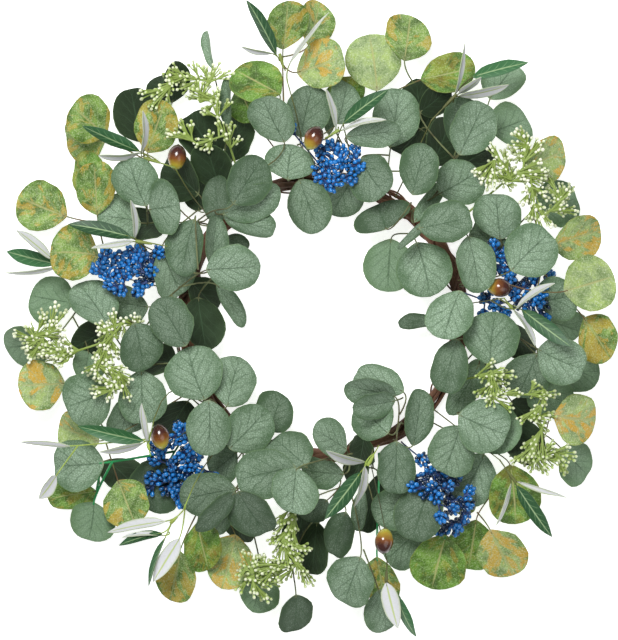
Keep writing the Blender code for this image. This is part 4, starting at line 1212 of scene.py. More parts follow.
def dusty_leaf():
    """Pale dust in specks on a green ground, thinner at the rim and off the veins."""
    paint = colours()
    material, start = new_finish("dusty leaf")
    along, across, tone, patch, plain, place = blade_values(start)
    grain = place.noise(850.0, 3.0, 0.7)
    cloud = place.noise(52.0, 4.0, 0.66)
    net = place.cells(500.0, "DISTANCE_TO_EDGE").step(0.2, 0.02)
    fine = place.cells(900.0, "DISTANCE_TO_EDGE").step(0.17, 0.0)
    veins = side_veins(along, across, place, 7.0, 3.2, 0.13) * across.step(1.05, 0.35)
    midrib = across.step(0.05, 0.012) * along.step(1.02, 0.5)
    rim = across.larger(along * 2.0 - 1.0)
    # painted shade: a low tone (dim, deep and lowest leaves) darkens the ground and the dust and
    # thins the dust
    ground = tone.mixed(shade(paint.leaf_green, 0.42), shade(paint.leaf_green, 1.1))
    dust = tone.mixed(shade(paint.leaf_dust, 0.45), shade(paint.leaf_dust, 1.16))
    density = tone * 0.26 + cloud * 1.05 - 0.1 - rim.step(0.4, 1.0) * 0.36 - patch * 0.16
    cover = (grain * 1.2 + density).step(0.52, 1.34) * (1.0 - net * 0.58 - fine * 0.2)
    colour = cover.mixed(ground, dust)
    # painted shade: low-tone plain leaves take the dark shade colour
    clear = tone.step(0.4, 0.6).mixed(paint.leaf_shade, paint.leaf_smooth)
    speckle = (cloud.step(0.3, 0.7) * 0.5 + grain * 0.2) * tone
    clear = speckle.mixed(clear, shade(paint.leaf_green, 1.1))
    clear = (rim.step(0.5, 1.0) * 0.3 * tone).mixed(clear, (0.11, 0.21, 0.06))
    colour = (plain * (1.15 - tone * 0.35)).mixed(colour, clear)
    colour = (veins * (0.5 - plain * 0.2)).mixed(colour, paint.leaf_net)
    colour = (midrib * 0.55).mixed(colour, paint.leaf_net)
    colour = (rim.step(0.93, 0.985) * 0.35).mixed(colour, (0.13, 0.22, 0.08))
    colour = (along.step(0.12, 0.0) * 0.5).mixed(colour, (0.34, 0.38, 0.18))
    height = grain * 0.35 - net * 0.4 - veins * 0.6 - midrib * 1.3
    rough = 0.7 - plain * tone * 0.16 + grain * 0.1
    others = {"Roughness": rough, "Sheen_Weight": 0.06, "Specular_IOR_Level": 0.32}
    return finish_off(material, colour, height, 0.5, 0.0006, **others)


def leaf_back():
    paint = colours()
    material, start = new_finish("leaf back")
    along, across, tone, *_, place = blade_values(start)
    grain = place.noise(900.0, 3.0, 0.6)
    net = place.cells(390.0, "DISTANCE_TO_EDGE").step(0.14, 0.0)
    colour = grain.mixed(shade(paint.leaf_back, 0.8), shade(paint.leaf_back, 1.15))
    colour = (tone * 0.4).mixed(colour, shade(paint.leaf_back, 0.7))
    colour = (net * 0.25).mixed(colour, shade(paint.leaf_back, 0.6))
    midrib = across.step(0.07, 0.02)
    veins = side_veins(along, across, place, 8.0, 3.0, 0.12)
    colour = (midrib.larger(veins * 0.5) * 0.6).mixed(colour, (0.46, 0.52, 0.32))
    height = grain * 0.3 + veins * 0.6 + midrib
    return finish_off(material, colour, height, 0.4, 0.0005, Roughness=0.75, Sheen_Weight=0.1)


def mottled_leaf():
    """Patches of ochre lie between the side veins, under a pale speckled veil."""
    paint = colours()
    material, start = new_finish("mottled leaf")
    along, across, tone, patch, plain, place = blade_values(start)
    side = start.blade_place().part(1).step(0.49, 0.51)
    grain = place.noise(700.0, 3.0, 0.7)
    cloud = place.noise(70.0, 4.0, 0.62, 0.4)
    between = along * 7.0 - across * 2.6 + across * across * 0.8
    shift = patch * 31.0 + side * 7.0
    lane = start.node("ShaderNodeCombineXYZ", (), {0: between, 1: across * 1.6, 2: shift})
    streak = lane.noise(0.9, 3.0, 0.6, 0.5)
    other = lane.noise(0.7, 4.0, 0.65, 0.6)
    veins = side_veins(along, across, place, 7.0, 2.6, 0.12) * across.step(1.0, 0.3)
    net = place.cells(400.0, "DISTANCE_TO_EDGE").step(0.18, 0.0)
    midrib = across.step(0.055, 0.015) * along.step(1.02, 0.5)
    rim = across.larger(along * 2.0 - 1.0)
    dark = tone.mixed(shade(paint.mottled_green, 0.38), shade(paint.mottled_green, 0.78))
    light = (cloud * 0.8 + grain * 0.3).step(0.4, 0.68)
    green = light.mixed(dark, shade(paint.mottled_green, 1.45))
    veil = (cloud * 0.7 + grain * 0.6 + tone * 0.34 - rim.step(0.6, 1.0) * 0.1).step(0.66, 1.06)
    pale = cloud.step(0.4, 0.62).mixed(paint.mottled_pale, (0.44, 0.56, 0.16))
    colour = (veil * (tone * 0.38 + 0.46)).mixed(green, pale)
    blotch = place.noise(38.0, 2.0, 0.5) + patch * 0.12
    ochre = (streak * 0.72 + blotch * 0.58 + grain * 0.1).step(0.725, 0.79) * across.step(0.0, 0.12)
    colour = (ochre * (tone * 0.8 + 0.12) * (1.0 - plain)).mixed(colour, paint.mottled_ochre)
    rust = (other + patch * 0.12 + grain * 0.1).step(0.76, 0.86)
    colour = (rust * 0.32 * (1.0 - plain)).mixed(colour, (0.36, 0.135, 0.020))
    foot = along.step(0.35, 0.0) * across.step(1.0, 0.0) * 0.5 * tone
    colour = foot.mixed(colour, (0.56, 0.44, 0.30))
    dots = place.noise(520.0, 2.0, 0.6).step(0.56, 0.7)
    colour = (dots * 0.4).mixed(colour, shade(paint.mottled_green, 0.7))
    flecks = (grain + cloud * 0.3).step(0.66, 0.82)
    colour = (flecks * (tone * 0.5 + 0.2)).mixed(colour, (0.62, 0.70, 0.50))
    colour = (net * (tone * 0.2 + 0.04)).mixed(colour, shade(paint.mottled_pale, 0.95))
    colour = (veins * (tone * 0.3 + 0.14)).mixed(colour, shade(paint.mottled_pale, 0.8))
    colour = (midrib * 0.7).mixed(colour, (0.44, 0.42, 0.17))
    colour = (rim.step(0.93, 0.99) * 0.4).mixed(colour, (0.24, 0.25, 0.05))
    height = grain * 0.5 - veins * 0.6 - midrib * 1.0
    others = {"Roughness": 0.6 + grain * 0.15, "Specular_IOR_Level": 0.4}
    return finish_off(material, colour, height, 0.4, 0.0006, **others)


def olive_leaf():
    paint = colours()
    material, start = new_finish("olive leaf")
    along, across, _, patch, _, place = blade_values(start)
    grain = place.noise(1100.0, 3.0, 0.6)
    colour = patch.mixed(shade(paint.olive_top, 0.5), shade(paint.olive_top, 1.6))
    colour = (grain.step(0.45, 0.8) * 0.3).mixed(colour, (0.12, 0.25, 0.10))
    veins = side_veins(along, across, place, 11.0, 1.8, 0.12) * across.step(1.0, 0.3)
    midrib = across.step(0.12, 0.04)
    colour = (veins * 0.5).mixed(colour, (0.24, 0.42, 0.20))
    colour = (midrib * 0.7).mixed(colour, (0.40, 0.55, 0.28))
    height = grain * 0.4 - veins * 0.6 - midrib * 1.0
    return finish_off(material, colour, height, 0.35, 0.0004, Roughness=0.42 + grain * 0.1)


def olive_back():
    paint = colours()
    material, start = new_finish("olive leaf back")
    along, across, tone, *_, place = blade_values(start)
    grain = place.noise(700.0, 3.0, 0.6)
    colour = grain.mixed(shade(paint.olive_back, 0.86), shade(paint.olive_back, 1.1))
    colour = (tone * 0.3).mixed(colour, (0.60, 0.60, 0.62))
    veins = side_veins(along, across, place, 11.0, 1.8, 0.14)
    midrib = across.step(0.16, 0.05)
    colour = (veins * 0.12).mixed(colour, (0.46, 0.50, 0.40))
    colour = (midrib * 0.85).mixed(colour, (0.42, 0.52, 0.14))
    colour = (across.step(0.72, 1.0) * 0.6).mixed(colour, (0.40, 0.50, 0.18))
    height = grain * 0.4 + veins * 0.6 + midrib * 1.2
    return finish_off(material, colour, height, 0.35, 0.0004, Roughness=0.6)


def berry_skin():
    paint = colours()
    material, start = new_finish("berry skin")
    tone, stalk_to_tip, height = start.drawn()
    bloom = start.place().noise(500.0, 3.0, 0.6)
    colour = tone.mixed(shade(paint.berry_blue, 0.55), shade(paint.berry_blue, 1.35))
    colour = (bloom.step(0.45, 0.75) * 0.2).mixed(colour, (0.04, 0.22, 0.55))
    # painted shade: heads lower than their neighbours, and the stalk end of each berry, turn dark
    # navy
    low = height.step(0.75, 0.0)
    colour = low.larger(stalk_to_tip.step(0.4, 0.0) * 0.8).mixed(colour, shade(paint.berry_blue, 0.1))
    rough = 0.2 + bloom * 0.12
    return finish_off(material, colour, bloom, 0.15, 0.0002, Roughness=rough, Coat_Weight=0.6)


def olive_skin():
    material, start = new_finish("olive skin")
    _, stalk_to_tip, _ = start.drawn()
    place = start.place()
    cloud = place.noise(140.0, 3.0, 0.6)
    stops = [
        (0.0, (0.44, 0.46, 0.05, 1.0)), (0.24, (0.42, 0.29, 0.03, 1.0)),
        (0.44, (0.22, 0.07, 0.012, 1.0)), (0.7, (0.062, 0.014, 0.008, 1.0)),
        (1.0, (0.035, 0.010, 0.008, 1.0)),
    ]
    colour = start.node("ShaderNodeValToRGB", {"stops": stops}, {0: stalk_to_tip + cloud * 0.3 - 0.15})
    specks = place.cells(520.0).step(0.2, 0.1)
    colour = (specks * 0.25).mixed(colour, (0.50, 0.34, 0.12))
    rough = 0.16 + cloud * 0.1
    return finish_off(material, colour, specks, 0.12, 0.0002, Roughness=rough, Coat_Weight=0.6)


def bud_skin():
    paint = colours()
    material, start = new_finish("bud skin")
    tone, stalk_to_tip, height = start.drawn()
    grain = start.place().noise(1200.0, 2.0)
    colour = tone.mixed(shade(paint.stem_green, 1.25), shade(paint.bud_cream, 1.1))
    colour = (stalk_to_tip.step(0.4, 0.9) * (tone * 0.5 + 0.4)).mixed(colour, shade(paint.bud_cream, 1.15))
    colour = (stalk_to_tip.step(0.45, 0.0) * 0.7).mixed(colour, paint.stem_green)
    # painted shade: buds lower than their neighbours turn a darker green
    low = height.step(0.7, 0.1)
    colour = (low * 0.55).mixed(colour, shade(paint.stem_green, 0.6))
    colour = (grain.step(0.5, 0.8) * 0.3).mixed(colour, (0.60, 0.52, 0.22))
    return finish_off(material, colour, grain, 0.3, 0.0003, Roughness=0.6)


def stalk_finish(name, first, second, rough, painted_shade=None):
    """A stalk's finish in two colours; low in the wreath it turns to a painted shade colour."""
    material, start = new_finish(name)
    place = start.place()
    patch = place.noise(60.0, 3.0, 0.6)
    grain = place.noise(800.0, 3.0, 0.6)
    colour = patch.step(0.35, 0.65).mixed(first, second)
    colour = (grain.step(0.5, 0.8) * 0.35).mixed(colour, shade(first, 0.5))
    if painted_shade:
        # painted shade: the stalk darkens towards its shade colour lower in the wreath
        colour = (place.part(2).step(STALK_LIT_HEIGHT, STALK_SHADE_HEIGHT) * 0.9).mixed(colour, painted_shade)
    return finish_off(material, colour, grain, 0.3, 0.0003, Roughness=rough + grain * 0.1)


def bark_finish():
    paint = colours()
    material, start = new_finish("bark")
    tone, _, _ = start.drawn()
    place = start.place()
    ridge = place.noise(260.0, 5.0, 0.7, 1.5)
    patch = place.noise(50.0, 3.0, 0.6)
    grain = place.noise(1100.0, 3.0, 0.6)
    colour = tone.mixed(shade(paint.bark, 0.6), shade(paint.bark, 1.9))
    colour = (patch.step(0.42, 0.7) * 0.45).mixed(colour, (0.17, 0.085, 0.050))
    colour = ((ridge + grain * 0.2).step(0.56, 0.44) * 0.7).mixed(colour, shade(paint.bark, 0.25))
    height = ridge + grain * 0.35
    return finish_off(material, colour, height, 0.6, 0.0012, Roughness=0.72 + grain * 0.15)


def clear_selection():
    if bpy.context.object and bpy.context.object.mode != "OBJECT":
        bpy.ops.object.mode_set(mode="OBJECT")
    bpy.ops.object.select_all(action="DESELECT")


def taken(name):
    """The object that an operator has just added, renamed."""
    made = bpy.context.object
    made.name = name
    made.data.name = name
    return made


OUTLINES = {
    "round": [
        (0.0, 0.05), (0.03, 0.22), (0.08, 0.42), (0.15, 0.64), (0.25, 0.84), (0.38, 0.96),
        (0.52, 1.0), (0.65, 0.98), (0.77, 0.88), (0.87, 0.71), (0.94, 0.5), (0.98, 0.3), (1.0, 0.0),
    ],
    "mottled": [
        (0.0, 0.05), (0.03, 0.19), (0.08, 0.37), (0.15, 0.6), (0.25, 0.81), (0.38, 0.95),
        (0.53, 1.0), (0.67, 0.98), (0.79, 0.88), (0.88, 0.72), (0.95, 0.5), (0.985, 0.27),
        (1.0, 0.0),
    ],
    "olive": [
        (0.0, 0.1), (0.04, 0.3), (0.1, 0.56), (0.18, 0.8), (0.3, 0.95), (0.42, 1.0), (0.55, 0.98),
        (0.68, 0.86), (0.79, 0.66), (0.88, 0.43), (0.95, 0.2), (0.985, 0.07), (1.0, 0.0),
    ],
}


def picked(piece, test):
    """Selects the points of a piece in edit mode whose places pass the test, and no others."""
    work = bmesh.from_edit_mesh(piece.data)
    for vert in work.verts:
        vert.select_set(test(vert.co))
    work.select_flush_mode()
    bmesh.update_edit_mesh(piece.data)


def model_blade(kind, skin, back):
    """A flat blade, 1 long and 1 to each side, with its cloth's thickness in millimetres."""
    clear_selection()
    outline = OUTLINES[kind]
    columns = len(outline) - 1
    rows = 6 if kind == "olive" else 10
    bpy.ops.mesh.primitive_grid_add(
        x_subdivisions=columns, y_subdivisions=rows, size=2, calc_uvs=True
    )
    blade = taken(f"{kind} blade")
    blade.data.uv_layers[0].name = "blade"
    bpy.ops.object.mode_set(mode="EDIT")
    for i, (along, half) in enumerate(outline):
        was = -1 + 2 * i / columns
        picked(blade, lambda place: abs(place.x - was) < 1e-4)
        bpy.ops.transform.resize(value=(1, max(half, 0.001), 1), center_override=(0, 0, 0))
        bpy.ops.transform.translate(value=(ASIDE + along - was, 0, 0))
    bpy.ops.mesh.select_all(action="SELECT")
    bpy.ops.transform.translate(value=(-ASIDE, 0, 0))
    bpy.ops.mesh.remove_doubles(threshold=0.004)
    bpy.ops.object.mode_set(mode="OBJECT")
    for shell in (skin, back):
        blade.data.materials.append(shell)
    thick = blade.modifiers.new("cloth", "SOLIDIFY")
    thick.thickness = sizes().leaf_thickness / MM
    thick.offset = 0.0
    thick.material_offset = 1
    bpy.ops.object.modifier_apply(modifier="cloth")
    bpy.ops.object.shade_smooth_by_angle(angle=math.radians(50))
    return blade


def places_of(mesh):
    found = np.empty(len(mesh.vertices) * 3)
    mesh.vertices.foreach_get("co", found)
    return found.reshape(-1, 3)


def placed(places):
    """Places of the layout, in millimetres, as places in the part's frame, in metres."""
    return (np.array([tuple(place) for place in places]) + SHIFT) * MM


def give_draws(mesh, draws):
    layer = mesh.attributes.new("draws", "FLOAT_COLOR", "POINT")
    layer.data.foreach_set("color", np.ascontiguousarray(draws, dtype=np.float32).ravel())


def copied(template, name, places, draws):
    """A copy of a template with its own mesh, its points at the places given in metres."""
    mesh = template.data.copy()
    mesh.vertices.foreach_set("co", np.ascontiguousarray(places).ravel())
    give_draws(mesh, draws)
    mesh.update()
    made = bpy.data.objects.new(name, mesh)
    bpy.context.collection.objects.link(made)
    return made


def joined(pieces, name):
    clear_selection()
    for piece in pieces:
        piece.select_set(True)
    bpy.context.view_layer.objects.active = pieces[0]
    if len(pieces) > 1:
        bpy.ops.object.join()
    return taken(name)


def fitted(piece, node):
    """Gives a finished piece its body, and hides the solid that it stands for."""
    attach(piece, "root")
    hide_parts(node)


def laid_leaf(template, name, leaf, rng, draws, swapped):
    """A leaf on the solid blade's own surface, with an uneven outline, a fold and a waved rim."""
    flat = places_of(template.data)
    along, across, lift = flat[:, 0], flat[:, 1], flat[:, 2]
    soft = 0.35 if leaf.kind == "olive" else 1.0
    side = np.where(across >= 0, 1.0, -1.0)
    far = np.abs(across)
    turns = rng.uniform(0.9, 2.2)
    phase = rng.uniform(0, math.tau)
    wave = sizes().leaf_wave / MM * rng.uniform(0.5, 1.4) * soft
    rim = far**2.2 * np.sin(math.tau * turns * along + phase + side * 1.1) * wave
    curled = rng.uniform(-4.5, 4.5) + side * rng.uniform(-3, 3)
    curl = np.maximum(0.0, far - 0.5) ** 2 * curled * soft
    groove = np.exp(-((across / 0.2) ** 2)) * along * (1 - along) * 2.0
    fold = (far * rng.uniform(-0.8, 2.4) + side * far * rng.uniform(-0.9, 0.9) - groove) * soft
    tip = along**5 * rng.uniform(-1.8, 1.4) * soft
    bend = leaf.cup * across**2 - leaf.droop * (2 * along - 1) ** 2 + rim + curl + fold + tip + lift
    lobes = 1.0 + rng.uniform(-0.06, 0.06) * np.sin(math.tau * along + side * 0.8)
    lobes = lobes + rng.uniform(-0.035, 0.035) * np.sin(2.3 * math.tau * along + phase + side * 1.7)
    sway = rng.uniform(-0.06, 0.06) * np.sin(math.pi * along)
    blunt = rng.uniform(-0.02, 0.06) * along**6 * np.exp(-((across / 0.4) ** 2)) * soft
    u, v, w, base = (np.array(tuple(part)) for part in (leaf.u, leaf.v, leaf.w, leaf.base))
    places = base + np.outer((along - blunt) * leaf.length, u)
    places = places + np.outer((across * lobes + sway) * leaf.half, v) + np.outer(bend, w)
    made = copied(template, name, placed(places), np.tile(draws, (len(flat), 1)))
    if swapped:
        for face in made.data.polygons:
            face.material_index = 1 - face.material_index
    return made


def wire(name, lines, material, sides=2):
    """Round stalks along the lines, each a list of points with radii, as one closed mesh."""
    clear_selection()
    curve = bpy.data.curves.new(name, "CURVE")
    curve.dimensions = "3D"
    curve.bevel_depth = 1.0
    curve.bevel_resolution = sides
    curve.use_fill_caps = True
    curve.resolution_u = 3
    for places, radii in lines:
        spline = curve.splines.new("NURBS")
        spline.points.add(len(places) - 1)
        for point, place, radius in zip(spline.points, placed(places), radii):
            point.co = (*place, 1.0)
            point.radius = radius * MM
        spline.order_u = min(4, len(places))
        spline.use_endpoint_u = True
    made = bpy.data.objects.new(name, curve)
    bpy.context.collection.objects.link(made)
    made.select_set(True)
    bpy.context.view_layer.objects.active = made
    bpy.ops.object.convert(target="MESH")
    made = taken(name)
    bpy.ops.object.mode_set(mode="EDIT")
    bpy.ops.mesh.select_all(action="SELECT")
    bpy.ops.mesh.remove_doubles(threshold=0.00001)
    bpy.ops.mesh.normals_make_consistent(inside=False)
    bpy.ops.object.mode_set(mode="OBJECT")
    bpy.ops.object.shade_smooth_by_angle(angle=math.radians(60))
    made.data.materials.append(material)
    return made


def thinned_path(path, radius):
    """A stalk's points with its radii: full at the root, thinner where it meets its leaf."""
    count = len(path)
    return path, [radius * (0.62 + 0.3 * i / max(1, count - 1)) for i in range(count)]


def blade_tone(kind, row):
    """How light a blade is, from 0 to 1; for a round leaf it carries painted shade, lower where it
    lies in the shade of others.
    """
    if kind == "mottled":
        return 0.1 if row[:2] in BRIGHT else 0.88 if row[:2] in VEILED else 0.5
    if kind == "olive":
        return 0.5
    if row[:2] in SMOOTH:
        return 0.88
    # painted shade: dim and deep leaves, and those at the lowest level, get a low tone
    if row[:2] in DIM:
        return 0.5
    return 0.18 if row[:2] in DEEP or row[5] == 0 else 0.8


def green_wire():
    return stalk_finish("green wire", (0.010, 0.230, 0.060), (0.020, 0.330, 0.100), 0.4)


def leaf_draws(kind, row, rng):
    """What a leaf's finish reads: how light it is (painted shade for shaded round leaves), its own
    pattern, and how plain.
    """
    start = row[:2]
    plain = 1.0 if start in UNSPOTTED else 0.0
    if kind == "round" and start not in DEEP + DIM:
        # painted shade: a round leaf at the lowest level is plain, and its low tone makes it a dark
        # leaf
        plain = 0.6 if start in SMOOTH else 1.0 if row[5] == 0 else plain
    return [blade_tone(kind, row) + rng.uniform(-0.1, 0.1), rng.random(), plain, 1.0]


def lay_blades(kind, table, skin, back, stalk):
    """Lays a table's leaves of one kind and runs their stalks, two pieces to a node."""
    template = model_blade(kind, skin, back)
    for node in table:
        rng = random.Random(f"{node} blades")
        leaves = []
        lines = []
        thick = STEM[kind] * (WIRE_THICKER if node in WIRED else 1.0)
        routes = ROUTES[node]
        for i, leaf in enumerate(SPRAYS[node]):
            draws = leaf_draws(kind, ROWS[node][i], rng)
            swapped = kind == "olive" and i in BACK_UP[node]
            leaves.append(laid_leaf(template, f"{node} leaf", leaf, rng, draws, swapped))
            lines.append(thinned_path([leaf.at(0.08, 0.0), *routes[i]], thick))
        lines += [thinned_path(path, thick) for path in routes[len(leaves):]]
        if kind == "olive":
            joint, bend = (path[0] for path in routes[-2:])
            start = joint + (joint - bend).normalized() * 1.6
            lines.append(([start, joint, joint.lerp(bend, 0.5)], [1.2, 2.3, 1.0]))
        fitted(joined(leaves, f"{node}_leaves"), node)
        finish = green_wire() if node in WIRED else stalk
        fitted(wire(f"{node}_stalks", lines, finish), node)
    bpy.data.objects.remove(template)


def thick_twig(rng, k):
    """The line of a twig that winds slowly round the ring; the first one runs in its core."""
    thick = sizes().twig_radius / MM
    reach = RING_TUBE - thick - 0.1 if k else 0.0
    winds = rng.choice((3, 4, 5)) * (1 if k % 3 else -1)
    phase = math.tau * k / max(1, sizes().twig_count - 1) + rng.uniform(-0.3, 0.3)
    ripple = rng.uniform(0, math.tau)
    start = rng.uniform(0, math.tau)
    places = []
    radii = []
    for i in range(TWIG_STEPS + 4):
        turn = start + math.tau * i / TWIG_STEPS
        spin = phase + winds * math.tau * i / TWIG_STEPS + 0.35 * math.sin(7 * turn + ripple)
        far = reach * (0.9 + 0.1 * math.sin(5 * turn + ripple * 2))
        radius = thick * (0.85 + 0.16 * math.sin(3 * turn + ripple) + 0.06 * math.sin(23 * turn))
        places.append(on_ring(turn, spin, far, radius + 0.05))
        radii.append(radius)
    return places, radii


def thin_twig(rng, k):
    """The line of a thin twig that winds fast round a part of the ring."""
    start = rng.uniform(0, math.tau)
    length = rng.uniform(1.2, 2.6)
    winds = rng.choice((9, 12, -10, -13))
    places = []
    last = THIN_TWIG_STEPS - 1
    for i in range(THIN_TWIG_STEPS):
        spin = winds * length * i / last + k
        places.append(on_ring(start + length * i / last, spin, RING_TUBE - 0.4, 1.0))
    return places, [0.9] * len(places)


class WREATH_OT_vine_ring(bpy.types.Operator):
    """Winds the vine ring from twigs"""

    bl_idname = "wreath.vine_ring"
    bl_label = "Vine ring"

    def execute(self, context):
        rng = random.Random("vine ring twigs")
        lines = [thick_twig(rng, k) for k in range(sizes().twig_count)]
        lines += [thin_twig(rng, k) for k in range(THIN_TWIGS)]
        ring = wire("vine_ring_twigs", lines, bark_finish())
        places = places_of(ring.data)
        tone = np.zeros((len(places), 4))
        tone[:, 0] = 0.5 + 0.5 * np.sin(places[:, 0] * 31 + places[:, 1] * 47)
        give_draws(ring.data, tone)
        fitted(ring, "vine_ring")
        return {"FINISHED"}


class WREATH_OT_round_leaves(bpy.types.Operator):
    """Lays the dusty round leaves on their stalks"""

    bl_idname = "wreath.round_leaves"
    bl_label = "Round leaves"

    def execute(self, context):
        stalk = stalk_finish("leaf stalk", (0.085, 0.080, 0.030), (0.17, 0.20, 0.085), 0.65)
        lay_blades("round", ROUND, dusty_leaf(), leaf_back(), stalk)
        return {"FINISHED"}


class WREATH_OT_mottled_leaves(bpy.types.Operator):
    """Lays the mottled leaves on their stalks"""

    bl_idname = "wreath.mottled_leaves"
    bl_label = "Mottled leaves"

    def execute(self, context):
        stalk = stalk_finish("mottled stalk", (0.16, 0.085, 0.035), (0.14, 0.19, 0.06), 0.6)
        skin = mottled_leaf()
        lay_blades("mottled", MOTTLED, skin, leaf_back(), stalk)
        return {"FINISHED"}


class WREATH_OT_olive_leaves(bpy.types.Operator):
    """Lays the olive leaves on their sprigs"""

    bl_idname = "wreath.olive_leaves"
    bl_label = "Olive leaves"

    def execute(self, context):
        light = shade(colours().stem_green, 1.2)
        # the last colour is painted shade, for stalks where they run low in the wreath
        stalk = stalk_finish("olive stalk", light, (0.30, 0.38, 0.06), 0.5, (0.075, 0.070, 0.025))
        lay_blades("olive", OLIVE, olive_leaf(), olive_back(), stalk)
        return {"FINISHED"}


def model_ball(name, segments, rings, stretch, blunt, skin):
    """A small drop, 1 across and stretched along z, its stalk end drawn in."""
    clear_selection()
    bpy.ops.mesh.primitive_uv_sphere_add(segments=segments, ring_count=rings, radius=0.5)
    ball = taken(name)
    bpy.ops.object.mode_set(mode="EDIT")
    bpy.ops.mesh.select_all(action="SELECT")
    bpy.ops.transform.resize(value=(1, 1, stretch), center_override=(0, 0, 0))
    picked(ball, lambda place: place.z < -0.12 * stretch)
    bpy.ops.transform.resize(value=(blunt, blunt, 1), center_override=(0, 0, 0))
    bpy.ops.object.mode_set(mode="OBJECT")
    bpy.ops.object.shade_smooth()
    ball.data.materials.append(skin)
    return ball


def aimed(flat, centre, way, width, spin=0.0):
    """A template's points, its z turned to the way, scaled, and its middle at the centre."""
    way = way.normalized()
    side = way.orthogonal().normalized()
    rest = way.cross(side)
    a = side * math.cos(spin) + rest * math.sin(spin)
    b = way.cross(a)
    turned = np.outer(flat[:, 0], a) + np.outer(flat[:, 1], b) + np.outer(flat[:, 2], way)
    return turned * width + np.array(tuple(centre))


def umbel(rng, middle, foot, width, around, reach, heads, under):
    """Heads round a middle one, on thin stalks from the foot, clear of leaves and other heads."""
    spots = [middle]
    for k in range(around):
        for _ in range(HEAD_TRIES):
            spin = math.tau * (k + rng.uniform(-0.35, 0.35)) / around
            far = reach * rng.uniform(0.6, 1.25)
            lift = rng.uniform(-1.4, 0.45) * reach
            spot = middle + Vector((far * math.cos(spin), far * math.sin(spin), lift))
            near = min((spot - other).length for other in spots + [place for place, _ in heads])
            if near > width * 0.88 and under.find_nearest(spot, width * 0.5)[0] is None:
                spots.append(spot)
                break
    heads += [(spot, (spot - foot).normalized()) for spot in spots]
    lines = []
    for spot in spots[1:]:
        middle_way = foot.lerp(spot, 0.5) + Vector((0, 0, -0.05 * (spot - foot).length))
        lines.append([spot - (spot - foot).normalized() * width * 0.3, middle_way, foot])
    return lines


def cluster(node, rng, width, around, reach, offshoots, lean):
    """All heads of a bunch: ((centre, way), ...), its main stalks and its thin ones."""
    under = SURROUNDINGS[node]
    heads = []
    main = []
    thin = []
    for i, ball in enumerate(SPRAYS[node]):
        path = [ball.base, *ROUTES[node][i][1:]]
        if len(path) == 1:
            path.append(ball.base - Vector((0, 0, 6)))
        way = (path[1] - path[0]).normalized()
        foot = path[0] + way * min(8.0, (path[1] - path[0]).length)
        if lean:
            inward = Vector((*(path[-1] - path[0]).xy, 0.0))
            foot += inward.normalized() * min(lean, inward.length)
            path = [path[0], foot, *path[2:]] if len(path) > 2 else [path[0], foot, path[1]]
        main.append(path)
        thin += umbel(rng, ball.base, foot, width, around, reach, heads, under)
        for _ in range(offshoots):
            for _ in range(OFFSHOOT_TRIES):
                spin = rng.uniform(0, math.tau)
                far = rng.uniform(1.6, 3.2) * reach
                off = (far * math.cos(spin), far * math.sin(spin), rng.uniform(-9, 3))
                spot = ball.base + Vector(off)
                if any((spot - other).length < width * 1.6 for other, _ in heads):
                    continue
                start = foot if lean else path[0] + way * min(14.0, (path[1] - path[0]).length)
                lower = spot.lerp(start, 0.62 if lean else 0.45)
                if clear(under, spot, lower, width * 0.5):
                    main.append([spot, lower, start])
                    thin += umbel(rng, spot, lower, width, around - 2, reach * 0.8, heads, under)
                    break
    return heads, main, thin


def share_up(flat):
    """How far up a template each of its points lies, from 0 to 1."""
    return (flat[:, 2] - flat[:, 2].min()) / np.ptp(flat[:, 2])


def lay_bunches(kind, table, template, stalk, width):
    """Models a table's bunches of one kind, two pieces to a node: its heads and its stalks."""
    around, reach, offshoots, lean, thick, thin = BUNCH[kind]
    flat = places_of(template.data)
    for node in table:
        rng = random.Random(f"{node} heads")
        more = DENSER.get(node, offshoots)
        heads, main_ways, thin_ways = cluster(node, rng, width, around, reach, more, lean)
        spots = np.array([tuple(centre) for centre, _ in heads])
        made = []
        for i, (centre, way) in enumerate(heads):
            near = np.hypot(*(spots[:, :2] - spots[i, :2]).T) < SHADE_REACH
            grown = width * rng.uniform(0.82, 1.12)
            places = aimed(flat, centre, way + Vector((0, 0, 0.3)), grown, rng.uniform(0, 6))
            draws = np.ones((len(flat), 4))
            draws[:, 0] = rng.uniform(0.45, 1.0) if node in PALER else rng.uniform(0.0, 0.65)
            draws[:, 1] = share_up(flat)
            # painted shade: how high a head stands among its neighbours; the finishes darken the
            # lower ones
            draws[:, 2] = 1.0 - min(1.0, (spots[near, 2].max() - spots[i, 2]) / SHADE_REACH)
            made.append(copied(template, f"{node} head", placed(places), draws))
        fitted(joined(made, f"{node}_{kind}"), node)
        runs = [(path, [thick] * len(path)) for path in main_ways]
        runs += [(path, [thin] * len(path)) for path in thin_ways]
        fitted(wire(f"{node}_stalks", runs, stalk, 1), node)
    bpy.data.objects.remove(template)


class WREATH_OT_berries(bpy.types.Operator):
    """Models the bunches of blue berries"""

    bl_idname = "wreath.berries"
    bl_label = "Berries"

    def execute(self, context):
        template = model_ball("berry", 10, 6, 1.4, 0.72, berry_skin())
        stalk = stalk_finish("berry stalk", (0.004, 0.018, 0.09), (0.010, 0.05, 0.20), 0.4)
        lay_bunches("berries", BERRIES, template, stalk, sizes().berry_width / MM)
        return {"FINISHED"}


class WREATH_OT_buds(bpy.types.Operator):
    """Models the sprays of cream buds"""

    bl_idname = "wreath.buds"
    bl_label = "Buds"

    def execute(self, context):
        template = model_ball("bud", 6, 4, 1.2, 0.75, bud_skin())
        green = shade(colours().stem_green, 0.7)
        stalk = stalk_finish("spray stalk", green, (0.28, 0.38, 0.09), 0.55)
        lay_bunches("buds", SEEDS, template, stalk, sizes().bud_width / MM)
        return {"FINISHED"}


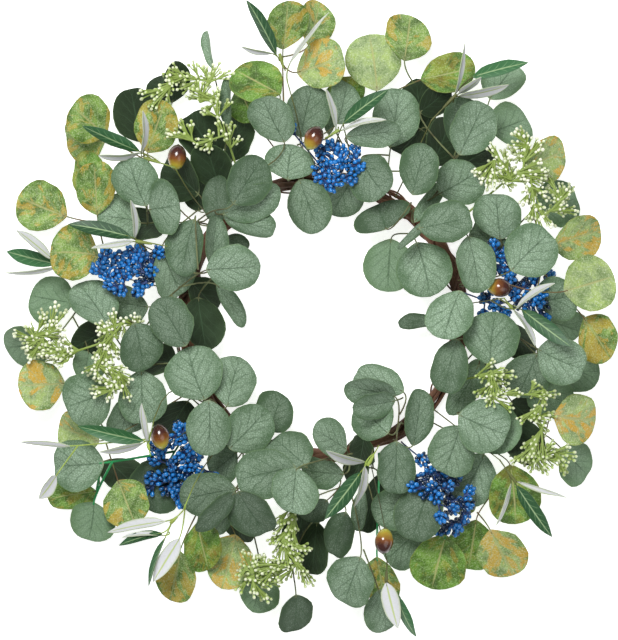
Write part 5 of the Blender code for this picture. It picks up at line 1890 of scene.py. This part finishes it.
class WREATH_OT_olives(bpy.types.Operator):
    """Models the olives on their stalks"""

    bl_idname = "wreath.olives"
    bl_label = "Olives"

    def execute(self, context):
        template = model_ball("olive", 28, 18, 1.0, 0.94, olive_skin())
        bpy.ops.object.mode_set(mode="EDIT")
        picked(template, lambda place: place.z > 0.4999)
        bpy.ops.transform.translate(value=(0, 0, 0.035))
        bpy.ops.object.mode_set(mode="OBJECT")
        # the third colour is painted shade, for the stalk where it runs low in the wreath
        light, dark, painted_shade = (0.16, 0.17, 0.06), (0.10, 0.16, 0.05), (0.050, 0.055, 0.022)
        stalk = stalk_finish("olive's stalk", light, dark, 0.55, painted_shade)
        slim = FRUIT_WIDE / FRUIT_LONG
        flat = places_of(template.data) * np.array((slim, slim, 1.0))
        for node in FRUIT:
            rng = random.Random(f"{node} skin")
            fruit = SPRAYS[node][0]
            places = aimed(flat, fruit.base, fruit.way, 2 * FRUIT_LONG, rng.uniform(0, 6))
            draws = np.ones((len(flat), 4))
            draws[:, 0] = rng.random()
            draws[:, 1] = share_up(flat)
            fitted(copied(template, f"{node}_olive", placed(places), draws), node)
            lines = [thinned_path(path, 0.6) for path in ROUTES[node]]
            neck = fruit.base - fruit.way * (FRUIT_LONG - 1.2)
            lines.append(([neck, neck - fruit.way * 1.2, neck - fruit.way * 2.4], [3.0, 2.2, 0.9]))
            fitted(wire(f"{node}_stalk", lines, stalk), node)
        bpy.data.objects.remove(template)
        return {"FINISHED"}


class WREATH_OT_stage(bpy.types.Operator):
    """Sets the floor, the lights and the camera"""

    bl_idname = "wreath.stage"
    bl_label = "Stage"

    def execute(self, context):
        clear_selection()
        scene = bpy.context.scene
        bpy.ops.mesh.primitive_plane_add(size=12, location=(0, 0, 0))
        floor = taken("floor")
        material, start = new_finish("floor")
        colour = start.place().noise(3.0, 2.0).mixed((0.90, 0.90, 0.90), (0.93, 0.93, 0.93))
        glow = {"Emission_Color": (1, 1, 1, 1), "Emission_Strength": 0.72}
        finish_off(material, colour, Roughness=0.9, **glow)
        floor.data.materials.append(material)
        scene.world = scene.world or bpy.data.worlds.new("studio")
        scene.world.use_nodes = True
        sky = scene.world.node_tree.nodes["Background"]
        sky.inputs["Color"].default_value = (0.96, 0.98, 1.0, 1.0)
        sky.inputs["Strength"].default_value = 0.25
        for name, place, size, power in LIGHTS:
            bpy.ops.object.light_add(type="AREA", location=place)
            light = bpy.context.object
            light.name = name
            light.data.size = size
            light.data.energy = power
            aim = Vector((0, 0, CAMERA_LEVEL)) - Vector(place)
            light.rotation_euler = aim.to_track_quat("-Z", "Y").to_euler()
        middle = [(shift + off) * MM for shift, off in zip(SHIFT, PICTURE_MIDDLE)]
        above = CAMERA_LEVEL + CAMERA_AWAY
        bpy.ops.object.camera_add(location=(*middle, above), rotation=(0, 0, 0))
        scene.camera = bpy.context.object
        lens = scene.camera.data
        lens.sensor_fit = "VERTICAL"
        lens.sensor_height = 36.0
        lens.lens = lens.sensor_height * CAMERA_AWAY / PICTURE_TALL
        lens.clip_end = 100.0
        scene.view_settings.view_transform = "Standard"
        return {"FINISHED"}


OPERATORS = (
    WREATH_OT_vine_ring,
    WREATH_OT_round_leaves,
    WREATH_OT_mottled_leaves,
    WREATH_OT_olive_leaves,
    WREATH_OT_olives,
    WREATH_OT_berries,
    WREATH_OT_buds,
    WREATH_OT_stage,
)


class WREATH_PT_panel(bpy.types.Panel):
    bl_label = "Eucalyptus wreath"
    bl_idname = "WREATH_PT_panel"
    bl_space_type = "VIEW_3D"
    bl_region_type = "UI"
    bl_category = "Wreath"

    def draw(self, context):
        for group in (context.scene.wreath_sizes, context.scene.wreath_colours):
            for name in group.__annotations__:
                self.layout.prop(group, name)
        for operator in OPERATORS:
            self.layout.operator(operator.bl_idname)


CLASSES = (WreathSizes, WreathColours, *OPERATORS, WREATH_PT_panel)


def register():
    for kind in CLASSES:
        bpy.utils.register_class(kind)
    bpy.types.Scene.wreath_sizes = PointerProperty(type=WreathSizes)
    bpy.types.Scene.wreath_colours = PointerProperty(type=WreathColours)


def unregister():
    del bpy.types.Scene.wreath_colours
    del bpy.types.Scene.wreath_sizes
    for kind in reversed(CLASSES):
        bpy.utils.unregister_class(kind)


def surroundings(node):
    """Everything but the node's own bodies, as one surface."""
    others = [mesh for other, meshes in MADE.items() if other != node for mesh in meshes]
    return BVHTree.FromPolygons(*merged(others))


MADE, SPRAYS, ROUTES = lay_out()
EVERY = np.array([tuple(p) for meshes in MADE.values() for points, _ in meshes for p in points])
SHIFT = -(EVERY.min(axis=0) + EVERY.max(axis=0)) / 2
SHIFT[2] = 0.0
ROWS = {**ROUND, **MOTTLED, **{node: rows for node, (_, rows) in OLIVE.items()}}
SURROUNDINGS = {node: surroundings(node) for node in (*BERRIES, *SEEDS)}


def main():
    register()
    for operator in OPERATORS:
        getattr(bpy.ops.wreath, operator.bl_idname.split(".")[1])()
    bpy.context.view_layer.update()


if __name__ == "__main__":
    main()
